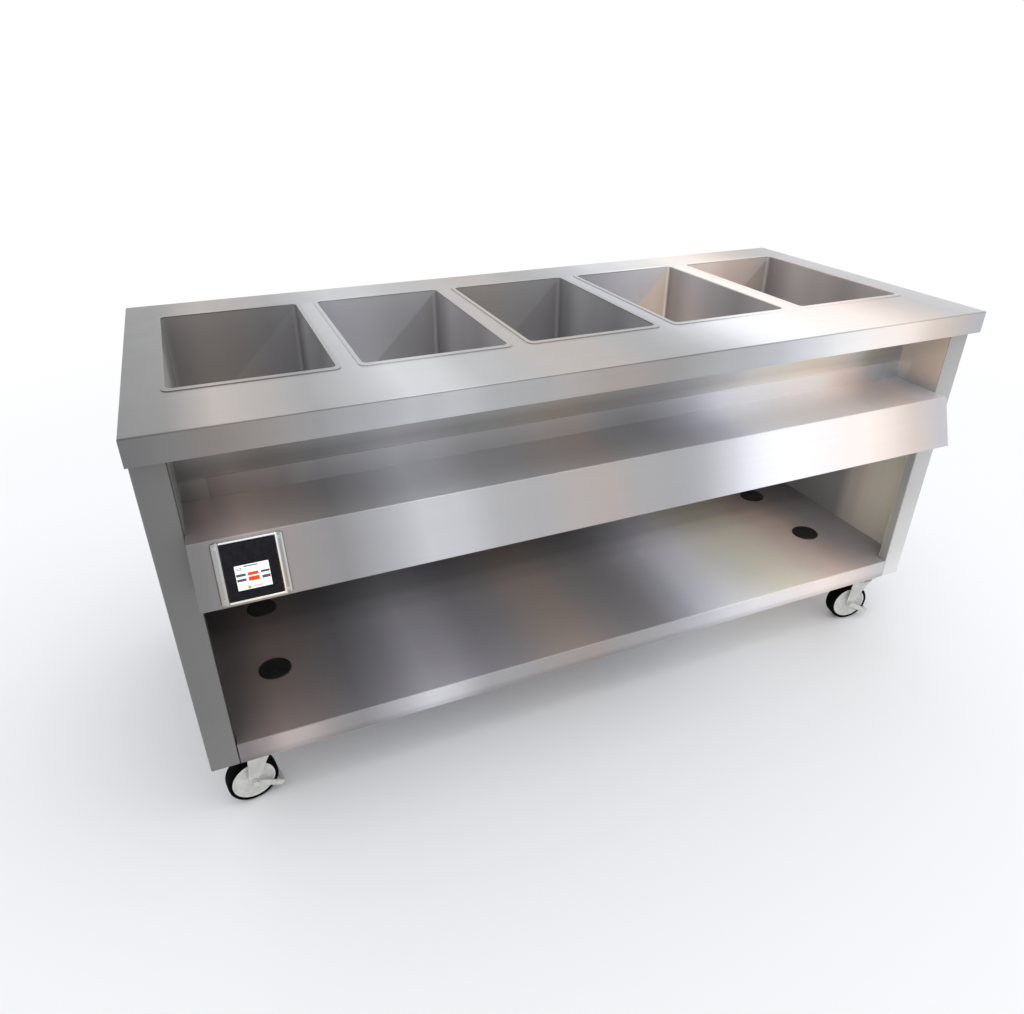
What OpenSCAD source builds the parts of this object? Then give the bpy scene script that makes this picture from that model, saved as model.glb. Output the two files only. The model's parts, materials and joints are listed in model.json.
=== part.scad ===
// Mobile steam table: a five-well hot food counter on casters, built of bent sheet.
// Millimetres, +Z up, front towards -Y, floor at Z = 0, origin under the middle of the whole.

/* [Counter] */
// Length of the counter, end to end
counter_l = 1880; // [1840:10:2000]
// Depth of the counter, front to back
counter_d = 813; // [795:1:860]
// Height of the counter top above the floor
counter_h = 914; // [880:1:960]
// Height of the turned-down apron
apron_h = 51; // [40:1:60]
// Width of the inward hem along the foot of the apron
apron_hem = 14; // [8:1:18]
// Thickness of the counter sheet
top_t = 2; // [1.5:0.1:2.5]
// Outer radius of the counter's bent edge
edge_r = 3; // [2.6:0.1:5]

/* [Wells] */
// Distance from each end of the counter to the nearest well
well_end = 75.5; // [70:0.5:90]
// Width of the strip of counter between two wells
well_land = 51; // [40:1:60]
// Depth of a well below the counter top
well_depth = 200; // [185:1:210]
// Distance from the counter's front edge to the wells
well_front = 198; // [190:1:205]
// Distance from the counter's back edge to the wells
well_back = 125; // [120:1:140]
// Inside corner radius of a well
well_corner_r = 12; // [6:1:20]
// Wall of a well pan
pan_t = 1.5; // [1:0.1:2]
// Width of the pan's rim at its sides
rim_side = 9; // [6:1:12]
// Width of the pan's rim at its front and back
rim_end = 14; // [8:1:18]
// Thickness of the rim, proud of the counter
rim_h = 1.5; // [1:0.1:2.5]

/* [Cabinet] */
// Thickness of the cabinet sheet
sheet_t = 1.6; // [1.2:0.1:2]
// Radius of the sheet's middle line in a bend
bend_r = 2.4; // [1.5:0.1:3]
// Set-back of the cabinet's front and back faces from the counter's edges
setback = 26; // [22:1:30]
// Width of an end panel's front and back returns
panel_face_w = 58; // [50:1:64]
// Depth of the lips behind the returns
panel_lip = 26; // [18:1:30]
// Height of the bottom shelf's lips
deck_lip = 51; // [44:1:60]
// Dark reveal between the bottom shelf's lips and the end panels
deck_reveal = 1.5; // [0.5:0.1:2]
// Width of the stiffening channels under the counter
counter_channel_w = 32; // [24:1:34]
// Depth of the stiffening channels under the counter
counter_channel_h = 25; // [15:1:35]
// Width of the stiffening channels under the bottom shelf
deck_channel_w = 60; // [40:1:80]
// Depth of the stiffening channels under the bottom shelf
deck_channel_h = 35; // [20:1:38]
// Width of the flanges of all stiffening channels
channel_flange = 12; // [8:1:12]
// Overlap of the back panel on the end panels' returns
back_lap = 28; // [20:1:36]

/* [Plate shelf] */
// Drop from the counter top to the plate shelf
shelf_drop = 204; // [200:1:230]
// Distance from the counter's front edge to the well housing
housing_front = 150; // [140:1:158]
// Height of the turned-up back edge of the plate shelf
upturn_h = 44; // [30:1:60]
// Distance that the turned-up edge stops short of each side
upturn_inset = 50; // [20:1:80]
// Reach of the plate shelf ahead of the counter's front edge
fascia_lead = 7; // [4:1:10]
// Reach of the sloping fascia's foot ahead of the counter's front edge
fascia_reach = 51; // [45:1:58]
// Height of the sloping fascia
fascia_drop = 116; // [112:1:124]
// Width of the hem along the foot of the fascia
fascia_hem = 25; // [15:1:30]

/* [Well housing] */
// Thickness of the well housing's sheet
housing_t = 1.2; // [1:0.1:1.6]
// Thickness of the insulation boards
insulation_t = 25; // [15:1:28]
// Gap between the wells' back walls and the insulation
back_gap = 5; // [3:1:7]
// Room under the heaters for insulation and air
heater_room = 34; // [30:1:38]

/* [Heating] */
// Radius of a tubular heating element
element_r = 4; // [3:0.1:4.5]
// Distance between the two legs of an element
element_gap = 140; // [110:1:160]
// Set-back of an element's bend from the front end of the heater tray
element_margin = 40; // [30:1:80]
// Length of the legs' tails beyond the heater tray
element_tail = 15; // [8:1:20]
// Set-back of a heater tray from the side walls of its well
tray_side = 52.5; // [45:0.5:60]
// Set-back of a heater tray from the front and back walls of its well
tray_margin = 35; // [30:1:42]
// Radius of a temperature probe
probe_r = 3; // [2:0.1:4]
// Length of a temperature probe
probe_l = 40; // [30:1:60]

/* [Drains] */
// Outer radius of a drain's threaded body
drain_r = 20; // [18:0.5:21]
// Radius of a drain's flange in the well
drain_flange_r = 29; // [27:1:34]
// Outer radius of the manifold pipe
pipe_r = 17; // [14:0.5:18]
// Wall of the pipes
pipe_t = 2; // [1.5:0.1:3]
// Length of the drain valve's body
valve_l = 50; // [40:1:60]
// Radius of the drain valve's body
valve_r = 23; // [20:1:26]
// Length of the drain valve's lever
valve_lever_l = 105; // [80:1:130]
// Drop of the drain outlet below the manifold
spout_drop = 70; // [50:1:100]

/* [Controls] */
// Distance from an end panel's inner edge to the middle of the control
control_inset = 97; // [80:1:140]
// Width of the chrome bezel
bezel_w = 123; // [112:1:128]
// Height of the chrome bezel, along the slope
bezel_h = 113; // [100:1:116]
// Height of the bezel's rounded bars above the fascia
bezel_rise = 6; // [5:0.5:8]
// Width of the black control panel
control_w = 93; // [86:1:96]
// Height of the black control panel
control_h = 102; // [92:1:104]
// Thickness of the black control panel
control_t = 3; // [2:0.1:4]
// Width of the display
display_w = 58; // [50:1:66]
// Height of the display
display_h = 44.5; // [38:0.5:48]
// Drop of the display's middle below the panel's middle
display_drop = 12.5; // [8:0.5:14]
// Depth of the control's case behind the fascia
case_depth = 42; // [35:1:44]
// Length of the junction box
junction_l = 260; // [240:1:300]
// Depth of the junction box, front to back
junction_d = 90; // [80:1:100]
// Height of the junction box
junction_h = 96; // [90:1:97]

/* [Bottom shelf plugs] */
// Radius of a plug's cap
plug_r = 37; // [30:1:38]
// Thickness of a plug's cap
plug_t = 3; // [2:0.1:4]
// Distance from the counter's front edge to the front plugs
plug_front = 234; // [180:1:250]
// Distance between the front and back plugs
plug_gap = 249; // [200:1:300]
// Distance from an end panel's inner edge to a plug's middle
plug_inset = 106; // [105:1:130]

/* [Casters] */
// Height of a caster, floor to mounting face
caster_h = 152; // [148:1:160]
// Radius of a wheel over its tyre
wheel_r = 55; // [50:0.5:56]
// Width of the tyre
wheel_w = 34; // [26:0.5:35]
// Thickness of the tyre
tyre_t = 8; // [6:0.5:12]
// Length of the hub along its axle
hub_l = 36; // [35.5:0.5:40]
// Offset of the axle behind the swivel axis
caster_trail = 24; // [20:1:30]
// Distance from an end panel's inner edge to the swivel axis
caster_inset = 37; // [36:1:44]
// Distance from the counter's front or back edge to the swivel axes, on average
caster_edge = 75; // [74:1:100]
// Set-back of the front left swivel axis, and set-forward of the front right one
caster_stagger = 7; // [0:1:7]
// Width of the mounting plate
plate_w = 60; // [56:1:64]
// Length of the mounting plate
plate_l = 78; // [72:1:78]
// Thickness of the mounting plate
plate_t = 4; // [3:0.1:5]
// Spacing of the plate's bolts across
bolt_x = 45; // [42:1:47]
// Spacing of the plate's bolts along
bolt_y = 60; // [59:1:64]
// Radius of the plate's bolts
bolt_r = 4; // [3:0.1:4.5]
// Radius of the axle
axle_r = 5; // [4:0.1:6]
// Thickness of the fork's sheet
fork_t = 3; // [2.5:0.1:4]
// Reach of the brake lever from the axle
brake_reach = 68; // [66:1:80]
// Angle of the brake lever below level
brake_angle = 30; // [10:1:30]

/* [Hidden] */
$fn = 64;

// Clearances and overruns
over = 1;            // overrun of a cut past a face
fit_gap = 0.3;       // seat of a loose piece on what carries it
running_gap = 0.05;  // radial gap of a running fit
slip_gap = 0.5;      // radial gap of a piece that passes through a hole
bend_steps = 4;      // straight steps in a sheet's bend

// Lean of the fascia, and how far the bezel on it reaches ahead of the counter
fascia_a = atan2(fascia_reach - fascia_lead, fascia_drop);
fascia_slope = norm([fascia_reach - fascia_lead, fascia_drop]);
bezel_side = (bezel_w - control_w) / 2;
bezel_top = (bezel_h - control_h) / 2;
bezel_corner_r = 6;
bezel_foot = bezel_corner_r - sqrt(pow(bezel_corner_r, 2) - pow(max(0, bezel_corner_r - bezel_side / 2), 2));
front_reach = fascia_lead + ((fascia_slope + bezel_h) / 2 - bezel_foot) * sin(fascia_a)
    + bezel_rise * cos(fascia_a);

// Places of the whole
front_y = (front_reach - counter_d) / 2;
function behind(d) = front_y + d;
shelf_z = counter_h - shelf_drop;
fascia_z = shelf_z - fascia_drop;
cover_z = fascia_z + sheet_t;
tray_z = cover_z + sheet_t;
deck_z = caster_h + deck_lip;
under_top = counter_h - top_t;
panel_x = counter_l / 2 - top_t;
bay_x = panel_x - panel_face_w;
skin_x = panel_x - sheet_t;
cabinet_back = counter_d - setback;
counter_bend = edge_r - top_t;

// Sizes and places of the wells
well_count = 5;
well_w = (counter_l - 2 * well_end - (well_count - 1) * well_land) / well_count;
well_pitch = well_w + well_land;
well_d = counter_d - well_front - well_back;
well_y = behind(well_front + well_d / 2);
well_floor = counter_h - well_depth;
pan_bottom = well_floor - pan_t;
function well_x(i) = (i - (well_count - 1) / 2) * well_pitch;
housing_back = well_front + well_d + pan_t + back_gap + insulation_t + housing_t;
tray_h = 2 * element_r + 2 * fit_gap + housing_t;
housing_z = pan_bottom - tray_h - heater_room;
housing_x = skin_x - fit_gap;
tray_w = well_w - 2 * tray_side;
tray_d = well_d - 2 * tray_margin;
element_leg = tray_d + element_tail - element_margin - element_gap / 2;

// Places of the drains
nut_h = 8;
nut_wall = 10;
nut_r = drain_r + nut_wall;
strainer_t = 1.2;
strainer_lap = 0.7;
strainer_seat = 1.5;
drain_flange_t = 3;
strainer_r = drain_r + strainer_lap;
socket_t = 3;
socket_h = 12;
socket_r = drain_r + fit_gap + socket_t;
socket_drop = 8;
socket_z = housing_z - socket_drop;
drain_end = socket_z - socket_h;
pipe_gap = 1;
pipe_z = drain_end - pipe_r - pipe_gap;
pipe_end = 40;
valve_run = 20;
valve_x = well_x(well_count - 1) + pipe_end + valve_run;
stem_r = 5;
stem_boss_r = 10;
stem_boss_h = 7;
stem_boss_z = pipe_z - valve_r - stem_boss_h;
stem_depth = 18;
lever_w = 20;
lever_t = 4;
spout_run = 30;
spout_x = valve_x + valve_l + spout_run;

// Places of the controls
control_x = bay_x - control_inset;
case_side = 4;
case_end = 11;
case_w = control_w - 2 * case_side;
case_h = control_h - 2 * case_end;
case_lift = 4;
screw_r = 1.5;
screw_head_r = 3;
screw_head_t = 1.8;
screw_x = bezel_w / 2 - bezel_side / 2;
screw_inset = 9;
screw_y = bezel_h / 2 - screw_inset;
box_t = 1.5;
junction_gap = 180;
junction_x = control_x - case_w / 2 - junction_gap;
junction_front = -8;
relay_count = 5;
relay_size = [30, 60, 34];
rail_t = 2;
conduit_r = 5;
supply_r = 6;
supply_x = well_x(0) + well_pitch / 2;
supply_gap = 3;
supply_z = housing_z - supply_r - supply_gap;

// Places of the casters
swivel_x = bay_x - caster_inset;
axle_z = wheel_r;
race_r = 29;
race_h = 10;
race_z = caster_h - plate_t - race_h;
crown_r = 36;
lower_race_h = 4;
crown_z = race_z - fit_gap - lower_race_h;
lower_race_r = 26;
kingpin_r = 6;
kingpin_head_r = 11;
kingpin_head_h = 6;
leg_in = hub_l / 2 + slip_gap;
leg_end_r = 13;
leg_top_back = -28;
leg_top_front = 28;
axle_head_r = 8;
axle_head_h = 5;
bolt_head_r = 7.4;
bolt_head_h = 5;
bolt_l = 16;
weld_nut_r = 7.5;
weld_nut_h = 7;
channel_t = 2;
channel_gap = 2;
channel_half = caster_inset - channel_gap;
brake_arm_w = 14;
brake_in = leg_in + fork_t + fit_gap;
brake_pad_gap = 3;

// Corner, X side, Y side, trail direction and brake of each caster
CORNERS = [["fl", -1, -1, 190, true], ["fr", 1, -1, 169, true],
           ["rl", -1, 1, 172, false], ["rr", 1, 1, 188, false]];
function swivel(c) = [c[1] * swivel_x,
    c[2] < 0 ? behind(caster_edge - c[1] * caster_stagger) : behind(counter_d - caster_edge)];

// Vectors in a plane
function unit(v) = v / norm(v);
function left(v) = [-v.y, v.x];
function spin(v, a) = [v.x * cos(a) - v.y * sin(a), v.x * sin(a) + v.y * cos(a)];
function turn(a, b) = atan2(a.x * b.y - a.y * b.x, a * b);
function backwards(l) = [for (i = [len(l) - 1:-1:0]) l[i]];

// One side of a bend at p, between directions a and b, at a distance from the middle line
function bend_arc(p, a, b, off) =
    let (th = turn(a, b), s = sign(th),
         c = p - a * bend_r * tan(abs(th) / 2) + left(a) * s * bend_r,
         spoke = left(a) * -s * (bend_r - s * off))
    [for (k = [0:bend_steps]) c + spin(spoke, th * k / bend_steps)];
function sheet_side(path, off) =
    let (n = len(path))
    concat([path[0] + left(unit(path[1] - path[0])) * off],
           [for (i = [1:n - 2])
               each bend_arc(path[i], unit(path[i] - path[i - 1]), unit(path[i + 1] - path[i]), off)],
           [path[n - 1] + left(unit(path[n - 1] - path[n - 2])) * off]);

// Section of a bent sheet along its middle line
module bent(path, t = sheet_t) {
    polygon(concat(sheet_side(path, t / 2), backwards(sheet_side(path, -t / 2))));
}

// A section drawn in Y and Z, run along X and centred
module along_x(l) {
    rotate([90, 0, 90]) linear_extrude(l, center = true) children();
}

// A section drawn in X and Z, run along Y and centred
module along_y(l) {
    rotate([90, 0, 0]) linear_extrude(l, center = true) children();
}

// Section with rounded upper corners, standing on its base line
function arch(w, h, r) = concat(
    [[-w / 2, 0]],
    [for (k = [0:bend_steps]) [-w / 2 + r, h - r] + r * [-cos(k * 90 / bend_steps), sin(k * 90 / bend_steps)]],
    [for (k = [0:bend_steps]) [w / 2 - r, h - r] + r * [sin(k * 90 / bend_steps), cos(k * 90 / bend_steps)]],
    [[w / 2, 0]]);

// Block with all upper edges rounded and sharp upright corners
module arch_block(l, d, h, r) {
    intersection() {
        along_x(l + over) polygon(arch(d, h, r));
        along_y(d + over) polygon(arch(l, h, r));
    }
}

module round_rect(w, d, r) {
    square([w - 2 * r, d], center = true);
    square([w, d - 2 * r], center = true);
    for (sx = [-1, 1], sy = [-1, 1])
        translate([sx * (w / 2 - r), sy * (d / 2 - r)]) circle(r);
}

module tube(r, t, h) {
    difference() {
        cylinder(r = r, h = h);
        translate([0, 0, -over]) cylinder(r = r - t, h = h + 2 * over);
    }
}

module at_wells(z) {
    for (i = [0:well_count - 1]) translate([well_x(i), well_y, z]) children();
}

// Counter, open below, with a hem along the foot of its front and back aprons
module countertop() {
    cut_w = well_w + 2 * (pan_t + slip_gap);
    cut_d = well_d + 2 * (pan_t + slip_gap);
    color("silver") difference() {
        union() {
            translate([0, behind(counter_d / 2), counter_h - apron_h]) difference() {
                arch_block(counter_l, counter_d, apron_h, edge_r);
                translate([0, 0, -over])
                    arch_block(counter_l - 2 * top_t, counter_d - 2 * top_t, apron_h - top_t + over, counter_bend);
            }
            for (y = [behind(top_t / 2), behind(counter_d - top_t / 2 - apron_hem)])
                translate([-panel_x, y, counter_h - apron_h]) cube([2 * panel_x, apron_hem, top_t]);
        }
        at_wells(under_top - over) linear_extrude(top_t + 2 * over)
            round_rect(cut_w, cut_d, well_corner_r + pan_t + slip_gap);
    }
}

// Hat section, open upwards, with its flanges at height zero
module hat(w, h) {
    f = w / 2 + channel_flange;
    bent([[-f, -sheet_t / 2], [-w / 2, -sheet_t / 2], [-w / 2, -h], [w / 2, -h],
          [w / 2, -sheet_t / 2], [f, -sheet_t / 2]]);
}

// Two channels under the counter and two under the bottom shelf
module stiffening_channels() {
    deck_x = bay_x - plug_inset - plug_r - channel_flange;
    color("gray") {
        for (y = [(apron_hem + housing_front) / 2, (housing_back + cabinet_back) / 2])
            translate([0, behind(y), under_top])
                along_x(2 * (bay_x - sheet_t - fit_gap)) hat(counter_channel_w, counter_channel_h);
        for (y = [plug_front, counter_d - plug_front])
            translate([0, behind(y), deck_z - sheet_t])
                along_x(2 * deck_x) hat(deck_channel_w, deck_channel_h);
    }
}

module well_pan(i) {
    outer_w = well_w + 2 * pan_t;
    outer_d = well_d + 2 * pan_t;
    color("lightgray") translate([well_x(i), well_y, 0]) difference() {
        union() {
            translate([0, 0, counter_h]) linear_extrude(rim_h)
                round_rect(well_w + 2 * rim_side, well_d + 2 * rim_end, well_corner_r + rim_side / 2);
            translate([0, 0, pan_bottom]) linear_extrude(well_depth + pan_t + rim_h)
                round_rect(outer_w, outer_d, well_corner_r + pan_t);
        }
        translate([0, 0, well_floor]) linear_extrude(well_depth + rim_h + over)
            round_rect(well_w, well_d, well_corner_r);
        translate([0, 0, pan_bottom - over]) cylinder(r = drain_r + slip_gap, h = pan_t + 2 * over);
    }
}

// Flanged drain bodies that reach down through the housing into the manifold
module well_drains() {
    top = well_floor + drain_flange_t;
    color("silver") at_wells(0) difference() {
        union() {
            translate([0, 0, well_floor]) cylinder(r = drain_flange_r, h = drain_flange_t);
            translate([0, 0, drain_end]) cylinder(r = drain_r, h = top - drain_end);
        }
        translate([0, 0, drain_end - over]) cylinder(r = drain_r - socket_t, h = top - drain_end + 2 * over);
        translate([0, 0, top - strainer_seat]) cylinder(r = strainer_r + fit_gap, h = strainer_seat + over);
    }
}

module drain_strainers() {
    hole_r = 1.8;
    ring = 5.5;
    color("silver") at_wells(well_floor + drain_flange_t - strainer_seat) difference() {
        cylinder(r = strainer_r, h = strainer_t);
        translate([0, 0, -over]) cylinder(r = hole_r, h = strainer_t + 2 * over);
        for (k = [1:2], j = [0:6 * k - 1])
            rotate(j * 60 / k) translate([k * ring, 0, -over])
                cylinder(r = hole_r, h = strainer_t + 2 * over, $fn = 24);
    }
}

module drain_nuts() {
    color("goldenrod") at_wells(pan_bottom - nut_h) difference() {
        cylinder(r = nut_r, h = nut_h, $fn = 6);
        translate([0, 0, -over]) cylinder(r = drain_r + running_gap, h = nut_h + 2 * over);
    }
}

// One pipe under all wells, with a socket round each drain
module drain_manifold() {
    x0 = well_x(0) - pipe_end;
    bore = pipe_r - pipe_t;
    color("peru") difference() {
        union() {
            translate([x0, well_y, pipe_z]) rotate([0, 90, 0]) cylinder(r = pipe_r, h = valve_x - x0);
            at_wells(pipe_z) cylinder(r = pipe_r, h = drain_end - pipe_z);
            at_wells(drain_end - socket_t) cylinder(r = socket_r, h = socket_h + socket_t);
        }
        translate([x0 + pipe_t, well_y, pipe_z]) rotate([0, 90, 0]) cylinder(r = bore, h = valve_x - x0);
        at_wells(pipe_z) cylinder(r = bore, h = drain_end - pipe_z + over);
        at_wells(drain_end) cylinder(r = drain_r + fit_gap, h = socket_h + over);
    }
}

module drain_valve_body() {
    color("goldenrod") difference() {
        union() {
            translate([valve_x, well_y, pipe_z]) rotate([0, 90, 0]) cylinder(r = valve_r, h = valve_l);
            translate([valve_x + valve_l / 2, well_y, stem_boss_z])
                cylinder(r = stem_boss_r, h = pipe_z - stem_boss_z);
        }
        translate([valve_x - over, well_y, pipe_z]) rotate([0, 90, 0])
            cylinder(r = pipe_r - pipe_t, h = valve_l + 2 * over);
        translate([valve_x + valve_l / 2, well_y, stem_boss_z - over])
            cylinder(r = stem_r + running_gap, h = stem_depth + over);
    }
}

// Quarter-turn lever, towards the front when shut
module drain_valve_handle() {
    z = stem_boss_z - fit_gap - lever_t;
    color("firebrick") translate([valve_x + valve_l / 2, well_y, z]) {
        cylinder(r = stem_r, h = lever_t + stem_depth - over);
        translate([0, -valve_lever_l / 2, 0]) linear_extrude(lever_t)
            round_rect(lever_w, valve_lever_l + lever_w, lever_w / 2 - fit_gap);
    }
}

module drain_spout() {
    run = spout_x - valve_x - valve_l;
    bore = pipe_r - pipe_t;
    color("peru") translate([spout_x, well_y, pipe_z]) difference() {
        union() {
            sphere(r = pipe_r);
            rotate([0, -90, 0]) cylinder(r = pipe_r, h = run);
            translate([0, 0, -spout_drop]) cylinder(r = pipe_r, h = spout_drop);
        }
        rotate([0, -90, 0]) cylinder(r = bore, h = run + over);
        translate([0, 0, -spout_drop - over]) cylinder(r = bore, h = spout_drop + over);
    }
}

// Hairpin elements, held up against the pans by the trays
module heating_elements() {
    z = pan_bottom - fit_gap - element_r;
    y1 = tray_d / 2 + element_tail;
    y0 = y1 - element_leg;
    color("dimgray") at_wells(z) {
        for (sx = [-1, 1]) translate([sx * element_gap / 2, y0, 0])
            rotate([-90, 0, 0]) cylinder(r = element_r, h = element_leg);
        translate([0, y0, 0]) rotate([0, 0, 180]) rotate_extrude(angle = 180)
            translate([element_gap / 2, 0]) circle(r = element_r);
    }
}

module heater_trays() {
    color("gainsboro") at_wells(pan_bottom - tray_h) difference() {
        translate([-tray_w / 2, -tray_d / 2, 0]) cube([tray_w, tray_d, tray_h]);
        translate([-tray_w / 2 + housing_t, -tray_d / 2 + housing_t, housing_t])
            cube([tray_w - 2 * housing_t, tray_d - 2 * housing_t, tray_h]);
        translate([0, 0, -over]) cylinder(r = nut_r + 2 * over, h = tray_h);
        for (sx = [-1, 1])
            translate([sx * element_gap / 2, 0, tray_h - fit_gap - element_r])
                rotate([-90, 0, 0]) cylinder(r = element_r + slip_gap, h = tray_d);
    }
}

// Probes on clips under the pans, beside the trays
module temperature_probes() {
    clip_t = 2;
    clip = 12;
    color("gray") at_wells(pan_bottom) translate([tray_w / 2 + clip, 0, 0]) {
        translate([-clip / 2, -clip / 2, -clip_t]) cube([clip, clip, clip_t]);
        translate([0, -probe_l / 2, -clip_t - probe_r / 2])
            rotate([-90, 0, 0]) cylinder(r = probe_r, h = probe_l);
    }
}

// Box from the front wall to the back wall, shrunk inwards by an amount
module housing_block(inset, z0, z1) {
    x = housing_x - inset;
    y0 = housing_front + inset;
    y1 = housing_back - inset;
    translate([-x, behind(y0), z0]) cube([2 * x, y1 - y0, z1 - z0]);
}

module insulation() {
    gap = 7;
    color("khaki") difference() {
        housing_block(housing_t, housing_z + housing_t, under_top - gap);
        housing_block(housing_t + insulation_t, housing_z + housing_t + insulation_t, counter_h);
        at_wells(housing_z) cylinder(r = drain_r + 2 * slip_gap, h = heater_room);
    }
}

module well_housing() {
    color("darkgray") difference() {
        housing_block(0, housing_z, under_top);
        housing_block(housing_t, housing_z + housing_t, counter_h);
        at_wells(housing_z - over) cylinder(r = drain_r + slip_gap, h = 2 * over + housing_t);
        conduit_to_housing(conduit_r + slip_gap);
    }
}

// Right end panel: one sheet with returns, lips and a foot flange
module end_panel() {
    edge = sheet_t / 2;
    x0 = bay_x + edge;
    x1 = panel_x - edge;
    y0 = behind(setback + edge);
    y1 = behind(cabinet_back - edge);
    difference() {
        union() {
            translate([0, 0, caster_h]) linear_extrude(under_top - counter_bend - caster_h)
                bent([[x0, y0 + panel_lip], [x0, y0], [x1, y0], [x1, y1], [x0, y1], [x0, y1 - panel_lip]]);
            translate([x0, y0, caster_h]) cube([x1 - x0, y1 - y0, sheet_t]);
        }
        at_back_screws() translate([0, 0, -2 * sheet_t])
            cylinder(r = back_screw_r + running_gap, h = 4 * sheet_t, $fn = 24);
    }
}

module left_end_panel() { color("silver") mirror([1, 0, 0]) end_panel(); }
module right_end_panel() { color("silver") end_panel(); }

module bay_liners() {
    color("darkkhaki") for (x = [-bay_x, bay_x - sheet_t])
        translate([x, behind(setback), shelf_z]) cube([sheet_t, housing_front - setback, under_top - shelf_z]);
}

// Plate shelf and sloping fascia in one sheet, with end plates and a turned-up back edge
module plate_shelf() {
    edge = sheet_t / 2;
    top = shelf_z - edge;
    lean = [fascia_reach - fascia_lead, fascia_drop];
    out = edge / cos(fascia_a);
    foot = [behind(-fascia_reach + out + edge * tan(fascia_a)), fascia_z + edge];
    head = [behind(-fascia_lead + out - edge * tan(fascia_a)), top];
    path = [[behind(housing_front), top], head, foot, [foot.x + fascia_hem, foot.y]];
    color("silver") difference() {
        union() {
            along_x(2 * bay_x) bent(path);
            translate([-bay_x + upturn_inset, behind(housing_front) - sheet_t, top])
                cube([2 * (bay_x - upturn_inset), sheet_t, upturn_h + edge]);
            for (x = [-bay_x, bay_x - sheet_t])
                translate([x + edge, 0, 0]) along_x(sheet_t)
                    polygon([head, foot, [behind(setback), foot.y], [behind(setback), top]]);
        }
        on_fascia() {
            translate([-case_w / 2 - slip_gap, case_lift - case_h / 2 - slip_gap, -over - sheet_t])
                cube([case_w + 2 * slip_gap, case_h + 2 * slip_gap, sheet_t + 2 * over]);
            at_bezel_screws() translate([0, 0, -over - sheet_t])
                cylinder(r = screw_r + running_gap, h = sheet_t + 2 * over, $fn = 24);
        }
    }
}

// Floor of the wireway: it lies on the fascia's hem and stands against the housing
module wireway_cover() {
    edge = sheet_t / 2;
    z = cover_z + edge;
    y = behind(housing_front) - edge;
    color("darkgray") difference() {
        along_x(2 * (bay_x - sheet_t - slip_gap))
            bent([[behind(fascia_hem / 2 - fascia_reach), z], [y, z], [y, shelf_z - sheet_t]]);
        conduit_to_housing(conduit_r + slip_gap);
        supply_conduit(supply_r + slip_gap, over);
    }
}

module back_panel() {
    x = bay_x + back_lap;
    z = caster_h + deck_lip / 3;
    color("silver") difference() {
        translate([-x, behind(cabinet_back), z]) cube([2 * x, sheet_t, under_top - z]);
        at_back_screws() translate([0, 0, -over])
            cylinder(r = back_screw_r + running_gap, h = sheet_t + 2 * over, $fn = 24);
        at_gland() translate([0, 0, -sheet_t - over])
            cylinder(r = gland_thread_r + running_gap, h = sheet_t + 2 * over);
    }
}

// Bottom shelf: a deck notched round the end panels' lips, with front and back lips
module bottom_shelf() {
    edge = sheet_t / 2;
    lip_x = bay_x - deck_reveal;
    y0 = behind(setback + edge);
    y1 = behind(cabinet_back - edge);
    z = deck_z - edge;
    hem = 14;
    hem_x = swivel_x - channel_half - slip_gap;
    wide_y0 = y0 + edge + panel_lip;
    color("silver") difference() {
        union() {
            along_x(2 * lip_x) bent([[y0, caster_h], [y0, z], [y1, z], [y1, caster_h]]);
            for (y = [y0, y1 - hem]) translate([-hem_x, y, caster_h]) cube([2 * hem_x, hem, sheet_t]);
            translate([-skin_x, wide_y0, deck_z - sheet_t])
                cube([2 * skin_x, y1 - edge - panel_lip - wide_y0, sheet_t]);
        }
        at_plugs() translate([0, 0, -over - sheet_t]) cylinder(r = plug_skirt_r + slip_gap, h = sheet_t + 2 * over);
    }
}

// Angles that carry the deck along the end panels' skins
module shelf_angles() {
    leg = 25;
    edge = sheet_t / 2;
    l = cabinet_back - setback - 2 * panel_lip - 2 * leg;
    color("gray") for (s = [0, 1]) mirror([s, 0, 0])
        translate([0, behind((cabinet_back + setback) / 2), 0]) along_y(l)
            bent([[skin_x - leg, deck_z - sheet_t - edge], [skin_x - edge, deck_z - sheet_t - edge],
                  [skin_x - edge, deck_z - sheet_t - leg]]);
}

// Places of the four plugs on the deck
plug_lap = 6;
plug_skirt_r = plug_r - plug_lap;
module at_plugs() {
    for (sx = [-1, 1], y = [plug_front, plug_front + plug_gap])
        translate([sx * (bay_x - plug_inset), behind(y), deck_z]) children();
}

module deck_plugs() {
    skirt_h = 8;
    wall = 2;
    groove = 0.8;
    color("black") at_plugs() difference() {
        union() {
            cylinder(r1 = plug_r, r2 = plug_r - plug_t / 2, h = plug_t);
            translate([0, 0, -skirt_h]) cylinder(r = plug_skirt_r, h = skirt_h);
        }
        translate([0, 0, -skirt_h - over]) cylinder(r = plug_skirt_r - wall, h = skirt_h + over);
        translate([0, 0, plug_t - groove]) tube(plug_skirt_r - wall, wall, plug_t);
        translate([0, 0, plug_t - groove]) cylinder(r = 2 * wall, h = plug_t);
    }
}

// Frame of the control: middle of the bezel, X along the table, Y up the slope, Z out
module on_fascia() {
    s = fascia_slope / 2;
    translate([-control_x, behind(-fascia_lead) - s * sin(fascia_a), shelf_z - s * cos(fascia_a)])
        rotate([90 - fascia_a, 0, 0]) children();
}

module at_bezel_screws() {
    for (sx = [-1, 1], sy = [-1, 1]) translate([sx * screw_x, sy * screw_y, 0]) children();
}

// Half oval of a width and a height
function dome(w, h) = [for (k = [0:8]) [-w / 2 * cos(k * 180 / 8), h * sin(k * 180 / 8)]];

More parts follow.
